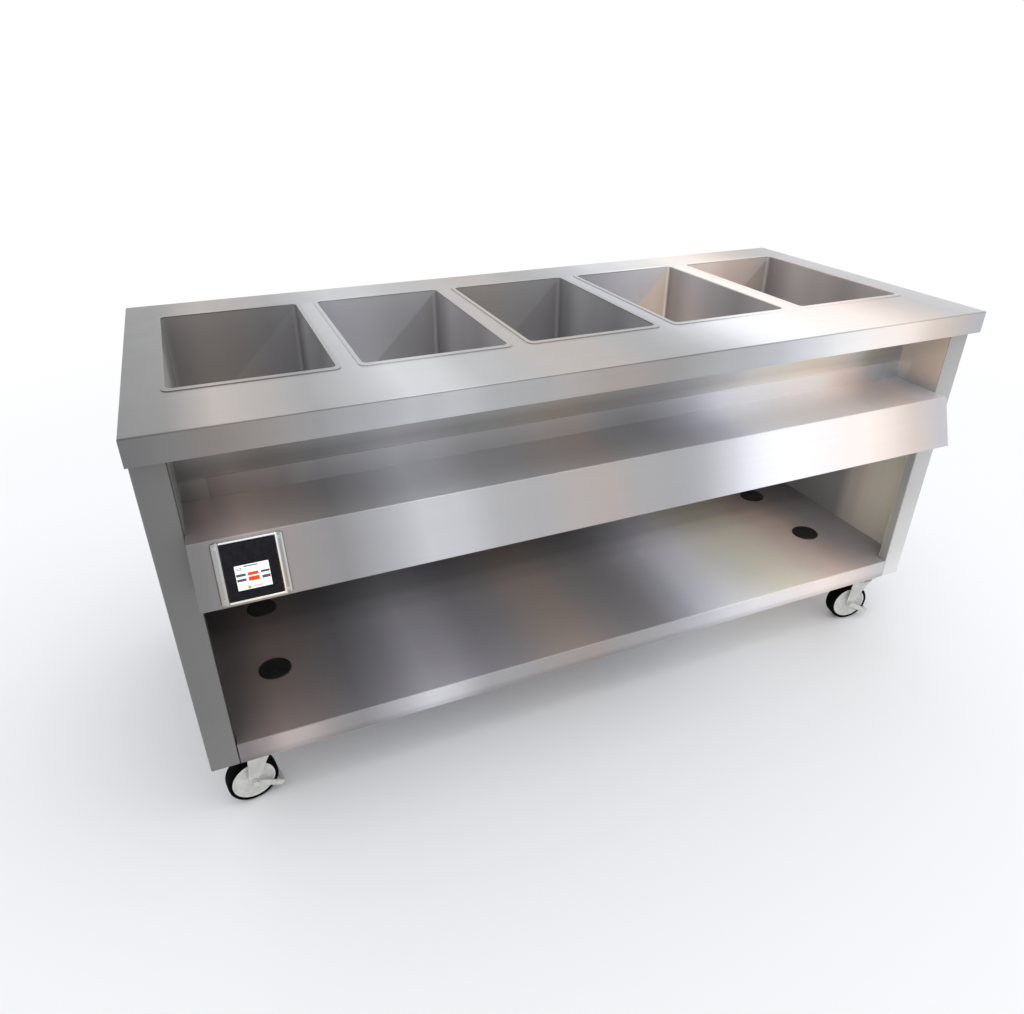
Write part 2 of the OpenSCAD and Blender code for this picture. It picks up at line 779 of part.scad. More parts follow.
module control_bezel() {
    color("white") on_fascia() difference() {
        intersection() {
            union() {
                for (sx = [-1, 1]) translate([sx * screw_x, 0, 0])
                    along_y(bezel_h) polygon(dome(bezel_side, bezel_rise));
                for (sy = [-1, 1]) translate([0, sy * (bezel_h - bezel_top) / 2, 0])
                    along_x(bezel_w - bezel_side) polygon(dome(bezel_top, bezel_rise * 0.8));
            }
            linear_extrude(bezel_rise + over) round_rect(bezel_w, bezel_h, bezel_corner_r);
        }
        at_bezel_screws() {
            translate([0, 0, -over]) cylinder(r = screw_r + running_gap, h = bezel_rise + 2 * over, $fn = 24);
            translate([0, 0, bezel_rise - screw_head_t]) cylinder(r = screw_head_r + fit_gap, h = bezel_rise);
        }
    }
}

module bezel_screws() {
    slot = 0.8;
    color("gainsboro") on_fascia() at_bezel_screws() difference() {
        union() {
            translate([0, 0, bezel_rise - screw_head_t]) cylinder(r = screw_head_r, h = screw_head_t, $fn = 32);
            translate([0, 0, -2 * sheet_t]) cylinder(r = screw_r, h = bezel_rise - over + 2 * sheet_t, $fn = 24);
        }
        for (a = [0, 90]) rotate(a)
            translate([-screw_head_r * 0.6, -slot / 2, bezel_rise - slot])
                cube([screw_head_r * 1.2, slot, slot + over]);
    }
}

module control_panel() {
    color("black") on_fascia() difference() {
        translate([-control_w / 2 + fit_gap, -control_h / 2 + fit_gap, 0])
            cube([control_w - 2 * fit_gap, control_h - 2 * fit_gap, control_t]);
        translate([-display_w / 2, -display_drop - display_h / 2, -over])
            cube([display_w, display_h, control_t + 2 * over]);
    }
}

module display_screen() {
    recess = 0.3;
    color("whitesmoke") on_fascia() translate([0, -display_drop, (control_t - recess) / 2])
        cube([display_w - fit_gap, display_h - fit_gap, control_t - recess], center = true);
}

module controller_case() {
    color("dimgray") on_fascia()
        translate([-case_w / 2, case_lift - case_h / 2, -case_depth]) cube([case_w, case_h, case_depth]);
}

// Junction box on the wireway cover, open at the top
module junction_box() {
    color("gray") translate([-junction_x, behind(junction_front), tray_z]) difference() {
        cube([junction_l, junction_d, junction_h]);
        translate([box_t, box_t, box_t])
            cube([junction_l - 2 * box_t, junction_d - 2 * box_t, junction_h]);
    }
}

module junction_box_lid() {
    color("gray") translate([-junction_x, behind(junction_front), tray_z + junction_h])
        cube([junction_l, junction_d, box_t]);
}

module heater_relays() {
    step = (junction_l - 2 * box_t) / relay_count;
    color("black") translate([-junction_x + box_t, behind(junction_front) + junction_d / 2, tray_z + box_t]) {
        translate([step / 4, -relay_size.y / 4, 0]) cube([junction_l - 2 * box_t - step / 2, relay_size.y / 2, rail_t]);
        for (i = [0:relay_count - 1])
            translate([(i + 1 / 2) * step - relay_size.x / 2, -relay_size.y / 2, rail_t]) cube(relay_size);
    }
}

// Conduit from the junction box through the housing's front wall
module conduit_to_housing(r) {
    y0 = behind(junction_front + junction_d);
    z = tray_z + junction_h - conduit_r - 2 * box_t;
    translate([-junction_x + junction_l / 2, y0, z]) rotate([-90, 0, 0])
        cylinder(r = r, h = behind(housing_front + housing_t) - y0);
}

// Conduit under the housing, from the wireway to the gland at the back
module supply_conduit(r, more = 0) {
    y0 = behind(junction_front + junction_d);
    translate([supply_x, y0, supply_z]) rotate([-90, 0, 0])
        cylinder(r = r, h = behind(cabinet_back) - gland_nut_h - y0 + more);
}

module wiring_conduits() {
    wall = 1;
    x0 = -control_x + case_w / 2;
    lift = case_depth * 0.8;
    color("gray") {
        on_fascia() translate([case_w / 2, 0, -lift]) rotate([0, 90, 0])
            tube(conduit_r, wall, -junction_x - x0);
        difference() {
            conduit_to_housing(conduit_r);
            translate([0, -over, 0]) conduit_to_housing(conduit_r - wall);
            translate([0, over, 0]) conduit_to_housing(conduit_r - wall);
        }
        difference() {
            supply_conduit(supply_r);
            translate([0, -over, 0]) supply_conduit(supply_r - wall, 2 * over);
        }
    }
}

// Gland for the mains lead, in the back panel; the frame's Z points out of the back
gland_r = 13;
gland_bore_r = 6.5;
gland_thread_r = 10;
gland_nut_h = 5;
gland_h = 20;
gland_lip = 2;
module at_gland() {
    translate([supply_x, behind(cabinet_back) + sheet_t, supply_z]) rotate([-90, 0, 0]) children();
}

module power_gland() {
    inner = sheet_t + gland_nut_h;
    color("dimgray") at_gland() difference() {
        union() {
            cylinder(r = gland_r, h = gland_h * 0.4, $fn = 6);
            translate([0, 0, gland_h * 0.4]) cylinder(r1 = gland_r * 0.85, r2 = gland_bore_r + gland_lip, h = gland_h * 0.6);
            translate([0, 0, -inner]) cylinder(r = gland_thread_r, h = inner);
            translate([0, 0, -inner]) cylinder(r = gland_r, h = gland_nut_h, $fn = 6);
        }
        translate([0, 0, -inner - over]) cylinder(r = gland_bore_r, h = gland_h + inner + 2 * over);
    }
}

// Screws of the back panel into the end panels' returns; the frame's Z points out of the back
back_screw_r = 2.5;
back_screw_head_r = 5;
back_screw_rows = 5;
module at_back_screws() {
    low = deck_z + 2 * back_lap;
    step = (counter_h - apron_h - 2 * back_lap - low) / (back_screw_rows - 1);
    for (sx = [-1, 1], k = [0:back_screw_rows - 1])
        translate([sx * (bay_x + back_lap / 2), behind(cabinet_back), low + k * step])
            rotate([-90, 0, 0]) children();
}

module back_panel_screws() {
    color("silver") at_back_screws() {
        translate([0, 0, sheet_t]) intersection() {
            cylinder(r = back_screw_head_r, h = back_screw_head_r);
            translate([0, 0, -back_screw_head_r]) sphere(r = back_screw_head_r * 1.6);
        }
        translate([0, 0, -6 * sheet_t]) cylinder(r = back_screw_r, h = 7.5 * sheet_t, $fn = 24);
    }
}

// Channels under the deck's ends that the casters bolt to, with welded nuts
module caster_channels() {
    edge = channel_t / 2;
    top = deck_z - sheet_t;
    l = cabinet_back - setback - 2 * (2 * sheet_t);
    x0 = swivel_x - channel_half + edge;
    x1 = swivel_x + channel_half - edge;
    color("gray") difference() {
        union() {
            for (s = [0, 1]) mirror([s, 0, 0])
                translate([0, behind((cabinet_back + setback) / 2), 0]) along_y(l)
                    bent([[x0, top], [x0, caster_h + edge], [x1, caster_h + edge], [x1, top]], channel_t);
            at_bolts() translate([0, 0, caster_h + channel_t / 2])
                cylinder(r = weld_nut_r, h = weld_nut_h + channel_t / 2, $fn = 6);
        }
        at_bolts() translate([0, 0, caster_h - over])
            cylinder(r = bolt_r + running_gap, h = bolt_l + 2 * over, $fn = 24);
    }
}

module at_casters() {
    for (c = CORNERS) translate(swivel(c)) children();
}

module at_bolts() {
    at_casters() for (sx = [-1, 1], sy = [-1, 1])
        translate([sx * bolt_x / 2, sy * bolt_y / 2, 0]) children();
}

// Mounting plates with the upper race and the kingpin that the fork turns on
module caster_plates() {
    head_top = crown_z - fit_gap;
    color("gainsboro") difference() {
        at_casters() {
            translate([0, 0, caster_h - plate_t]) linear_extrude(plate_t) round_rect(plate_w, plate_l, 2 * plate_t);
            translate([0, 0, race_z]) cylinder(r = race_r, h = race_h);
            translate([0, 0, head_top - over]) cylinder(r = kingpin_r, h = race_z - head_top + 2 * over);
            translate([0, 0, head_top - kingpin_head_h]) cylinder(r = kingpin_head_r, h = kingpin_head_h, $fn = 6);
        }
        at_bolts() translate([0, 0, caster_h - plate_t - over])
            cylinder(r = bolt_r + running_gap, h = plate_t + 2 * over, $fn = 24);
    }
}

module caster_bolts() {
    z = caster_h - plate_t;
    color("gainsboro") at_bolts() {
        translate([0, 0, z - bolt_head_h]) cylinder(r = bolt_head_r, h = bolt_head_h, $fn = 6);
        translate([0, 0, z - over]) cylinder(r = bolt_r, h = bolt_l + over, $fn = 24);
    }
}

// Frame of one caster: Z up from the floor, X along the trail, at the swivel axis
module caster(i) {
    c = CORNERS[i];
    translate(swivel(c)) rotate(c[3]) children();
}

// Frame of one axle: Z along the axle, X along the trail, Y up
module at_axle() {
    translate([caster_trail, 0, axle_z]) rotate([90, 0, 0]) children();
}

module fork(i) {
    wide = 2 * (leg_in + fork_t);
    color("gainsboro") caster(i) difference() {
        union() {
            translate([0, 0, crown_z]) cylinder(r = crown_r, h = fork_t);
            translate([0, 0, crown_z]) cylinder(r = lower_race_r, h = race_z - fit_gap - crown_z);
            at_axle() for (z = [-leg_in - fork_t, leg_in]) translate([0, 0, z]) linear_extrude(fork_t) {
                circle(r = leg_end_r);
                polygon([[leg_top_back - caster_trail, crown_z - axle_z + fork_t / 2],
                         [leg_top_front - caster_trail, crown_z - axle_z + fork_t / 2],
                         [leg_end_r, 0], [-leg_end_r, 0]]);
            }
        }
        translate([0, 0, crown_z - over]) cylinder(r = kingpin_r + running_gap, h = race_z);
        at_axle() translate([0, 0, -wide / 2 - over]) cylinder(r = axle_r + running_gap, h = wide + 2 * over);
    }
}

// Axle bolt with its head on the brake side and its nut on the other
module axle(i) {
    nut = leg_in + fork_t;
    head = nut + (CORNERS[i][4] ? fork_t + 2 * fit_gap : 0);
    color("gray") caster(i) at_axle() {
        translate([0, 0, -head]) cylinder(r = axle_r, h = head + nut);
        translate([0, 0, nut]) cylinder(r = axle_head_r, h = axle_head_h, $fn = 6);
        translate([0, 0, -head - axle_head_h]) cylinder(r = axle_head_r, h = axle_head_h, $fn = 6);
    }
}

// Wheel hub with a rim, a sunk web and a boss round the axle
module hub(i) {
    rim_r = wheel_r - tyre_t - running_gap;
    rim_step = 1;
    rim_w = wheel_w - 2 * rim_step;
    web_w = wheel_w * 0.6;
    boss_r = axle_r * 2.6;
    color("lightgray") caster(i) at_axle() difference() {
        union() {
            translate([0, 0, -rim_w / 2]) tube(rim_r, tyre_t, rim_w);
            translate([0, 0, -web_w / 2]) cylinder(r = rim_r - tyre_t / 2, h = web_w);
            translate([0, 0, -hub_l / 2]) cylinder(r = boss_r, h = hub_l);
        }
        translate([0, 0, -hub_l / 2 - over]) cylinder(r = axle_r + running_gap, h = hub_l + 2 * over);
    }
}

module tyre(i) {
    r = tyre_t / 2;
    mid = wheel_r - tyre_t / 2;
    color("black") caster(i) at_axle() rotate_extrude() {
        translate([mid - r / 2, 0]) square([tyre_t - r, wheel_w], center = true);
        translate([mid + r / 2, 0]) square([tyre_t - r, wheel_w - 2 * r], center = true);
        for (s = [-1, 1]) translate([wheel_r - r, s * (wheel_w / 2 - r)]) circle(r = r);
    }
}

// Foot lever on the axle bolt, with a pad across the wheel
module brake(i) {
    pad_in = wheel_r + brake_pad_gap;
    pad_w = brake_in + fork_t + wheel_w / 2;
    color("gainsboro") caster(i) at_axle() rotate(180 + brake_angle) difference() {
        union() {
            translate([0, 0, -brake_in - fork_t]) linear_extrude(fork_t) {
                circle(r = leg_end_r - fork_t);
                translate([0, -brake_arm_w / 2]) square([brake_reach, brake_arm_w]);
            }
            translate([pad_in, -brake_arm_w / 2, -brake_in - fork_t])
                cube([brake_reach - pad_in, fork_t, pad_w]);
        }
        translate([0, 0, -brake_in - fork_t - over]) cylinder(r = axle_r + running_gap, h = fork_t + 2 * over);
    }
}

countertop();
stiffening_channels();
well_pan(0);  // well_pan_1
well_pan(1);  // well_pan_2
well_pan(2);  // well_pan_3
well_pan(3);  // well_pan_4
well_pan(4);  // well_pan_5
well_drains();
drain_strainers();
drain_nuts();
drain_manifold();
drain_valve_body();
drain_valve_handle();
drain_spout();
heating_elements();
heater_trays();
temperature_probes();
insulation();
well_housing();
left_end_panel();
right_end_panel();
bay_liners();
plate_shelf();
wireway_cover();
back_panel();
back_panel_screws();
bottom_shelf();
shelf_angles();
deck_plugs();
control_bezel();
bezel_screws();
control_panel();
display_screen();
controller_case();
junction_box();
junction_box_lid();
heater_relays();
wiring_conduits();
power_gland();
caster_channels();
caster_plates();
caster_bolts();
fork(0);  // fork_fl
fork(1);  // fork_fr
fork(2);  // fork_rl
fork(3);  // fork_rr
axle(0);  // axle_fl
axle(1);  // axle_fr
axle(2);  // axle_rl
axle(3);  // axle_rr
hub(0);  // hub_fl
hub(1);  // hub_fr
hub(2);  // hub_rl
hub(3);  // hub_rr
tyre(0);  // tyre_fl
tyre(1);  // tyre_fr
tyre(2);  // tyre_rl
tyre(3);  // tyre_rr
brake(0);  // brake_fl
brake(1);  // brake_fr
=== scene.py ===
import json
import math

import bmesh
import bpy
from mathutils import Matrix, Vector


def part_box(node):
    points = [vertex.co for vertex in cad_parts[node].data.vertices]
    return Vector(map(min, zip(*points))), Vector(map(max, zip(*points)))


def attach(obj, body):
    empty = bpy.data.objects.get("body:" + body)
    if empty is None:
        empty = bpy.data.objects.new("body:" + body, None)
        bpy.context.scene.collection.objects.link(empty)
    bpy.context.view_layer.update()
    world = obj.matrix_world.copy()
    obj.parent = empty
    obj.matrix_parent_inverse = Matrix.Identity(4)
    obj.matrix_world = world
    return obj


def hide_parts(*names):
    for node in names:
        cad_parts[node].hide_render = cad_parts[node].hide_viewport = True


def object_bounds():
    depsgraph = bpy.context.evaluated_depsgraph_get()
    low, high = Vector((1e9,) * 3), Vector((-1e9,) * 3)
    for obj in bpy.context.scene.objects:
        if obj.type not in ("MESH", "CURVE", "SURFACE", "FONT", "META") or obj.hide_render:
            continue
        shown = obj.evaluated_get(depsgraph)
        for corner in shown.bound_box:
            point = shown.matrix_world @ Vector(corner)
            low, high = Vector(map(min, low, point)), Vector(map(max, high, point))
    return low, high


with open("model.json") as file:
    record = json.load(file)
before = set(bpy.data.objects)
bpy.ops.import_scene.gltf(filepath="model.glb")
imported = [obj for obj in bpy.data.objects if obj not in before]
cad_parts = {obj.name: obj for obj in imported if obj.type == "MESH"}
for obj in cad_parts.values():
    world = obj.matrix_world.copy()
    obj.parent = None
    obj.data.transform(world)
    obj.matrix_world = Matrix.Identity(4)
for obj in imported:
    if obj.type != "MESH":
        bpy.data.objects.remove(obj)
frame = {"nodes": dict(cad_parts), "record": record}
cad_low, cad_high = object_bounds()
nodes = frame["nodes"]
joints = {row["name"]: row for row in frame["record"]["behaviour"]["joints"]}

# Places taken from the frame, in metres
WELL_RIM_X, WELL_RIM_Y = 0.009, 0.014
first_pan_low, first_pan_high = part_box("well_pan_1")
second_pan_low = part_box("well_pan_2")[0]
HALF_LENGTH = cad_high.x
COUNTER_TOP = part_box("countertop")[1].z
WELL_PITCH = second_pan_low.x - first_pan_low.x
WELL_HALF = (first_pan_high.x - first_pan_low.x) / 2 - WELL_RIM_X
WELL_FRONT_Y, WELL_BACK_Y = first_pan_low.y + WELL_RIM_Y, first_pan_high.y - WELL_RIM_Y
WELL_COUNT = 5

# Node helpers
WHITE = (1, 1, 1, 1)
COLOR, FLOAT, VECTOR = "NodeSocketColor", "NodeSocketFloat", "NodeSocketVector"


def plug(tree, socket, value):
    """A socket's input, given as a value or as another node's output."""
    if isinstance(value, bpy.types.NodeSocket):
        tree.links.new(value, socket)
    else:
        socket.default_value = value


def add(tree, kind, links=None, **settings):
    """A node with its settings, and with its inputs plugged by name or number."""
    node = tree.nodes.new(kind)
    for name, value in settings.items():
        setattr(node, name, value)
    for name, value in (links or {}).items():
        plug(tree, node.inputs[name], value)
    return node


def mix_colors(tree, how, factor, first, second):
    """Two colours mixed. 0, 6 and 7 are the Mix node's factor and its colour inputs, 2 its colour output."""
    links = {0: factor, 6: first, 7: second}
    return add(tree, "ShaderNodeMix", links, data_type="RGBA", blend_type=how).outputs[2]


def calc(tree, how, *values, clamp=False):
    return add(tree, "ShaderNodeMath", dict(enumerate(values)), operation=how, use_clamp=clamp).outputs[0]


def times(tree, first, second):
    return calc(tree, "MULTIPLY", first, second)


def plus(tree, first, second):
    return calc(tree, "ADD", first, second)


def minus(tree, first, second):
    return calc(tree, "SUBTRACT", first, second)


def stretch(tree, value, low, high, to_low=0.0, to_high=1.0, how="LINEAR"):
    """A value moved from the span low to high onto the span to_low to to_high, and held inside it."""
    spans = {"Value": value, "From Min": low, "From Max": high, "To Min": to_low, "To Max": to_high}
    return add(tree, "ShaderNodeMapRange", spans, interpolation_type=how).outputs[0]


def ramp(tree, factor, stops, interpolation="EASE"):
    """A colour ramp through (place, grey or colour) stops."""
    node = add(tree, "ShaderNodeValToRGB", {"Fac": factor})
    node.color_ramp.interpolation = interpolation
    elements = node.color_ramp.elements
    while len(elements) > 1:
        elements.remove(elements[-1])
    for i, (place, value) in enumerate(stops):
        element = elements[0] if i == 0 else elements.new(place)
        element.position = place
        element.color = (*value, 1) if isinstance(value, tuple) else (value, value, value, 1)
    return node.outputs[0]


def noise(tree, place, scale, **settings):
    links = {"Vector": place, "Scale": scale, **settings}
    return add(tree, "ShaderNodeTexNoise", links).outputs["Fac"]


def split(tree, vector):
    return add(tree, "ShaderNodeSeparateXYZ", {"Vector": vector}).outputs


def object_place(tree):
    return add(tree, "ShaderNodeTexCoord").outputs["Object"]


def facing_of(tree):
    """X, Y and Z of the way that a face looks."""
    return split(tree, add(tree, "ShaderNodeNewGeometry").outputs["True Normal"])


def twice(tree, color, tone):
    """Colour times twice the tone, because a ramp's own values stop at 1."""
    laid = mix_colors(tree, "MULTIPLY", 1.0, color, tone)
    return add(tree, "ShaderNodeVectorMath", {0: laid, 1: (2, 2, 2)}, operation="MULTIPLY").outputs[0]


def halved(stops):
    """Stops at half their value, for twice() to bring back."""
    return [(place, tuple(v / 2 for v in tone) if isinstance(tone, tuple) else tone / 2)
            for place, tone in stops]


def new_group(name, inputs, outputs):
    group = bpy.data.node_groups.new(name, "ShaderNodeTree")
    for label, kind, default in inputs:
        socket = group.interface.new_socket(label, in_out="INPUT", socket_type=kind)
        socket.default_value = default
    for label, kind in outputs:
        group.interface.new_socket(label, in_out="OUTPUT", socket_type=kind)
    start, end = group.nodes.new("NodeGroupInput"), group.nodes.new("NodeGroupOutput")
    return group, start.outputs, end.inputs


def use_group(tree, group, links):
    node = tree.nodes.new("ShaderNodeGroup")
    node.node_tree = group
    for name, value in links.items():
        plug(tree, node.inputs[name], value)
    return node.outputs


def empty_tree(owner):
    """The node tree of a new material or world, cleared of its default nodes."""
    owner.use_nodes = True
    owner.node_tree.nodes.clear()
    return owner.node_tree


# Painted sheen: painted reflection along the sheets, darker at the left end and lighter at the right, in
# broad bands lighter and darker, warm and cool, with a painted bright patch, as (middle, half width,
# strength), the first two in metres
DULL_LEFT, DULL_RIGHT = 0.22, 0.52
BRIGHTEST = 0.97
BRIGHT_BANDS = [(-0.45, 0.11, 0.30), (-0.20, 0.20, 0.09), (0.39, 0.14, 0.50), (0.62, 0.14, 0.40),
                (0.95, 0.06, 0.06)]
BRIGHT_PATCH = [(-0.76, 0.06, 0.17)]
WARM_BANDS = [(-0.76, 0.08, 0.9), (-0.10, 0.08, 0.9), (0.62, 0.14, 0.8), (0.76, 0.08, 0.9)]
COOL_BANDS = [(-0.50, 0.14, 0.6), (0.24, 0.12, 0.9), (0.87, 0.06, 0.6)]
WARM_TINT, COOL_TINT = (1.12, 0.975, 0.88, 1), (0.975, 0.985, 1.045, 1)
BAND_STOPS = 25
DRIFT_SCALE = 2.3
SHIFT_FROM, SHIFT_TO = -0.3, 0.3


def band_height(bands, x):
    return sum(strength * math.exp(-((x - middle) / width) ** 2) for middle, width, strength in bands)


# Painted reflection: how light a sheet is painted at each place along its length
def light_at(x):
    dull = DULL_LEFT + (DULL_RIGHT - DULL_LEFT) * (x / HALF_LENGTH + 1) / 2
    return min(BRIGHTEST, dull + band_height(BRIGHT_BANDS, x))


def bands_ramp(tree, share, height):
    """A ramp over the table's length with the value height(x) at each of its stops."""
    shares = [k / (BAND_STOPS - 1) for k in range(BAND_STOPS)]
    return ramp(tree, share, [(at, min(1.0, height((2 * at - 1) * HALF_LENGTH))) for at in shares], "LINEAR")


def build_painted_sheen_group():
    """Broad soft bands of painted reflection, light and dark, warm and cool, along the length of the sheets.
    """
    group, given, out = new_group(
        "painted sheen bands",
        [("Steel", COLOR, (0.6, 0.6, 0.6, 1)), ("Contrast", FLOAT, 1.0), ("Tint", FLOAT, 1.0),
         ("Drift", FLOAT, 0.05), ("Even", FLOAT, 0.55), ("Upright Shift", FLOAT, 0.0),
         ("Flat Patch", FLOAT, 1.0), ("Upright Patch", FLOAT, 1.0)],
        [("Color", COLOR), ("Band", FLOAT)])
    place = object_place(group)
    x = split(group, place)["X"]
    flat = calc(group, "ABSOLUTE", facing_of(group)["Z"])
    upright = minus(group, 1.0, flat)
    cloud = noise(group, place, DRIFT_SCALE, Detail=1.5, Roughness=0.45)
    wander = times(group, minus(group, cloud, 0.5), given["Drift"])
    right_half = stretch(group, x, SHIFT_FROM, SHIFT_TO)
    shift = times(group, times(group, upright, given["Upright Shift"]), right_half)
    along = minus(group, plus(group, x, wander), shift)
    share = stretch(group, along, -HALF_LENGTH, HALF_LENGTH)
    light = bands_ramp(group, share, light_at)
    patch, warm, cool = (bands_ramp(group, share, lambda x, bands=bands: band_height(bands, x))
                         for bands in (BRIGHT_PATCH, WARM_BANDS, COOL_BANDS))
    on_flat = times(group, flat, given["Flat Patch"])
    patched = plus(group, on_flat, times(group, upright, given["Upright Patch"]))
    light = plus(group, light, times(group, patch, patched))
    color = mix_colors(group, "MIX", given["Contrast"], given["Even"], light)
    for band, tint in ((warm, WARM_TINT), (cool, COOL_TINT)):
        tinted = mix_colors(group, "MIX", times(group, band, given["Tint"]), WHITE, tint)
        color = mix_colors(group, "MULTIPLY", 1.0, color, tinted)
    group.links.new(mix_colors(group, "MULTIPLY", 1.0, color, given["Steel"]), out["Color"])
    group.links.new(light, out["Band"])
    return group


WIDE_GRAIN_SCALE = 0.11


def build_brushing_group():
    """Fine straight scratches of a brushed sheet. Grain is how fine they are along each axis."""
    group, given, out = new_group(
        "brushed grain", [("Grain", VECTOR, (8, 900, 900)), ("Depth", FLOAT, 1.0)],
        [("Height", FLOAT), ("Streak", FLOAT), ("Roughness", FLOAT)])
    links = {0: object_place(group), 1: given["Grain"]}
    stretched = add(group, "ShaderNodeVectorMath", links, operation="MULTIPLY").outputs[0]
    fine = noise(group, stretched, 1.0, Detail=3.0, Roughness=0.6)
    wide = noise(group, stretched, WIDE_GRAIN_SCALE, Detail=2.0, Roughness=0.5)
    both = plus(group, times(group, fine, 0.5), times(group, wide, 0.5))
    group.links.new(times(group, both, given["Depth"]), out["Height"])
    group.links.new(wide, out["Streak"])
    group.links.new(times(group, minus(group, fine, 0.5), given["Depth"]), out["Roughness"])
    return group


SMEAR_FROM, SMEAR_TO = 0.46, 0.72


def build_handling_group():
    """Faint smears and wiped patches that a used counter has."""
    group, given, out = new_group(
        "handling marks", [("Size", FLOAT, 6.0), ("Amount", FLOAT, 1.0)], [("Smear", FLOAT)])
    broad = noise(group, object_place(group), given["Size"], Detail=4.0, Distortion=0.8)
    group.links.new(times(group, stretch(group, broad, SMEAR_FROM, SMEAR_TO), given["Amount"]), out["Smear"])
    return group


# Where a face counts as flat, as looking one way, and as behind the wells or the plate shelf's front
FLAT_FROM, FLAT_TO = 0.75, 0.97
FACING_FROM, FACING_TO = 0.6, 0.9
REAR_STRIP_Y, SHELF_REAR_Y = 0.31, -0.3


def build_facing_group():
    """Place in the model, and how far the face looks up, forwards, inwards, outwards or round a bend."""
    group, given, out = new_group(
        "place and facing", [("Pitch", FLOAT, 1.0)],
        [(label, FLOAT) for label in ("X", "Y", "Z", "Within Pitch", "Up", "Up Rear", "Front", "Front Rear",
                                      "Front Left", "Front Right", "Side Left", "Side Right", "Outer",
                                      "Bend")])
    place, facing = split(group, object_place(group)), facing_of(group)
    for axis in "XYZ":
        group.links.new(place[axis], out[axis])
    half = times(group, given["Pitch"], 0.5)
    group.links.new(calc(group, "WRAP", place["X"], half, times(group, half, -1.0)), out["Within Pitch"])
    up = calc(group, "ABSOLUTE", facing["Z"])
    inwards = times(group, facing["X"], calc(group, "SIGN", place["X"]))
    flat = stretch(group, up, FLAT_FROM, FLAT_TO)
    front = stretch(group, facing["Y"], -FACING_FROM, -FACING_TO)
    side = stretch(group, inwards, -FACING_FROM, -FACING_TO)
    outer = stretch(group, inwards, FACING_FROM, FACING_TO)
    bend = times(group, times(group, up, minus(group, 1.0, up)), 4.0)
    masks = {"Up": flat, "Front": front, "Outer": outer, "Bend": bend,
             "Up Rear": times(group, flat, calc(group, "GREATER_THAN", place["Y"], REAR_STRIP_Y)),
             "Front Rear": times(group, front, calc(group, "GREATER_THAN", place["Y"], SHELF_REAR_Y))}
    for end, how in (("Left", "LESS_THAN"), ("Right", "GREATER_THAN")):
        beyond_middle = calc(group, how, place["X"], 0.0)
        masks["Front " + end] = times(group, front, beyond_middle)
        masks["Side " + end] = times(group, side, beyond_middle)
    for label, mask in masks.items():
        group.links.new(mask, out[label])
    return group


# Wells: painted light and shade on the walls, tones as halves, one for each well from the left, or from the
# back wall to the front one
NEUTRAL = (0.5, 0.5, 0.5, 1)
WELL_BACK = [(0.39, 0.385, 0.39), (0.57, 0.565, 0.59), (0.46, 0.455, 0.46), (0.5, 0.49, 0.51),
             (0.72, 0.67, 0.66)]
WELL_PATCH = [(0.44, 0.43, 0.44), (0.46, 0.45, 0.46), (0.40, 0.385, 0.395), (0.63, 0.52, 0.45),
              (0.58, 0.54, 0.52)]
WELL_RIGHT = [(0.44, 0.435, 0.44), (0.46, 0.455, 0.47), (0.43, 0.43, 0.44), (0.31, 0.305, 0.31),
              (0.36, 0.36, 0.365)]
WELL_LEFT = [(0.0, 0.5), (0.35, 0.55), (0.55, 0.85), (0.9, 1.0)]
# Painted bands of reflection and shade on the right walls, from the back to the front
WELL_RIGHT_SHADE_AND_REFLECTION = [(0.0, 0.72), (0.08, 0.86), (0.25, 1.2), (0.46, 0.98), (0.65, 0.82), (0.85, 1.06),
                (1.0, 1.12)]
WELL_GLOW = [(0.0, 1.0), (0.3, 1.1), (0.42, 1.3), (0.52, 1.2), (0.62, 1.1), (0.75, 0.9), (1.0, 0.9)]
WELL_GLOW_FROM, WELL_GLOW_TO = 0.2, 0.9
PATCH_SOFTNESS = 0.004
WALL_FROM, WALL_TO = 0.5, 0.9


def build_well_group():
    """Walls of the wells: painted light and shade in a tone for each, a painted slanting reflection at the
    back, painted bands of reflection and shade on the right walls.
    """
    group, given, out = new_group("well walls", [("Color", COLOR, NEUTRAL)], [("Color", COLOR)])
    where = use_group(group, FACING, {"Pitch": WELL_PITCH})
    normal = facing_of(group)
    row_end = WELL_PITCH * WELL_COUNT / 2
    number = stretch(group, where["X"], -row_end, row_end)
    steps = [[(k / WELL_COUNT, tone) for k, tone in enumerate(tones)]
             for tones in (WELL_BACK, WELL_PATCH, WELL_RIGHT)]
    back, patch, right = (ramp(group, number, stops, "CONSTANT") for stops in steps)
    depth = minus(group, COUNTER_TOP, where["Z"])
    from_right = minus(group, WELL_HALF, where["Within Pitch"])
    below_slant = stretch(group, minus(group, depth, from_right), -PATCH_SOFTNESS, PATCH_SOFTNESS)
    forwards = stretch(group, where["Y"], WELL_BACK_Y, WELL_FRONT_Y)
    back = mix_colors(group, "MIX", below_slant, back, patch)
    right = mix_colors(group, "MULTIPLY", 1.0, right, ramp(group, forwards, WELL_RIGHT_SHADE_AND_REFLECTION))
    left = ramp(group, forwards, WELL_LEFT)
    tone = mix_colors(group, "MIX", stretch(group, normal["Y"], -WALL_FROM, -WALL_TO), NEUTRAL, back)
    tone = mix_colors(group, "MIX", stretch(group, normal["X"], -WALL_FROM, -WALL_TO), tone, right)
    tone = mix_colors(group, "MIX", stretch(group, normal["X"], WALL_FROM, WALL_TO), tone, left)
    group.links.new(twice(group, given["Color"], tone), out["Color"])
    return group


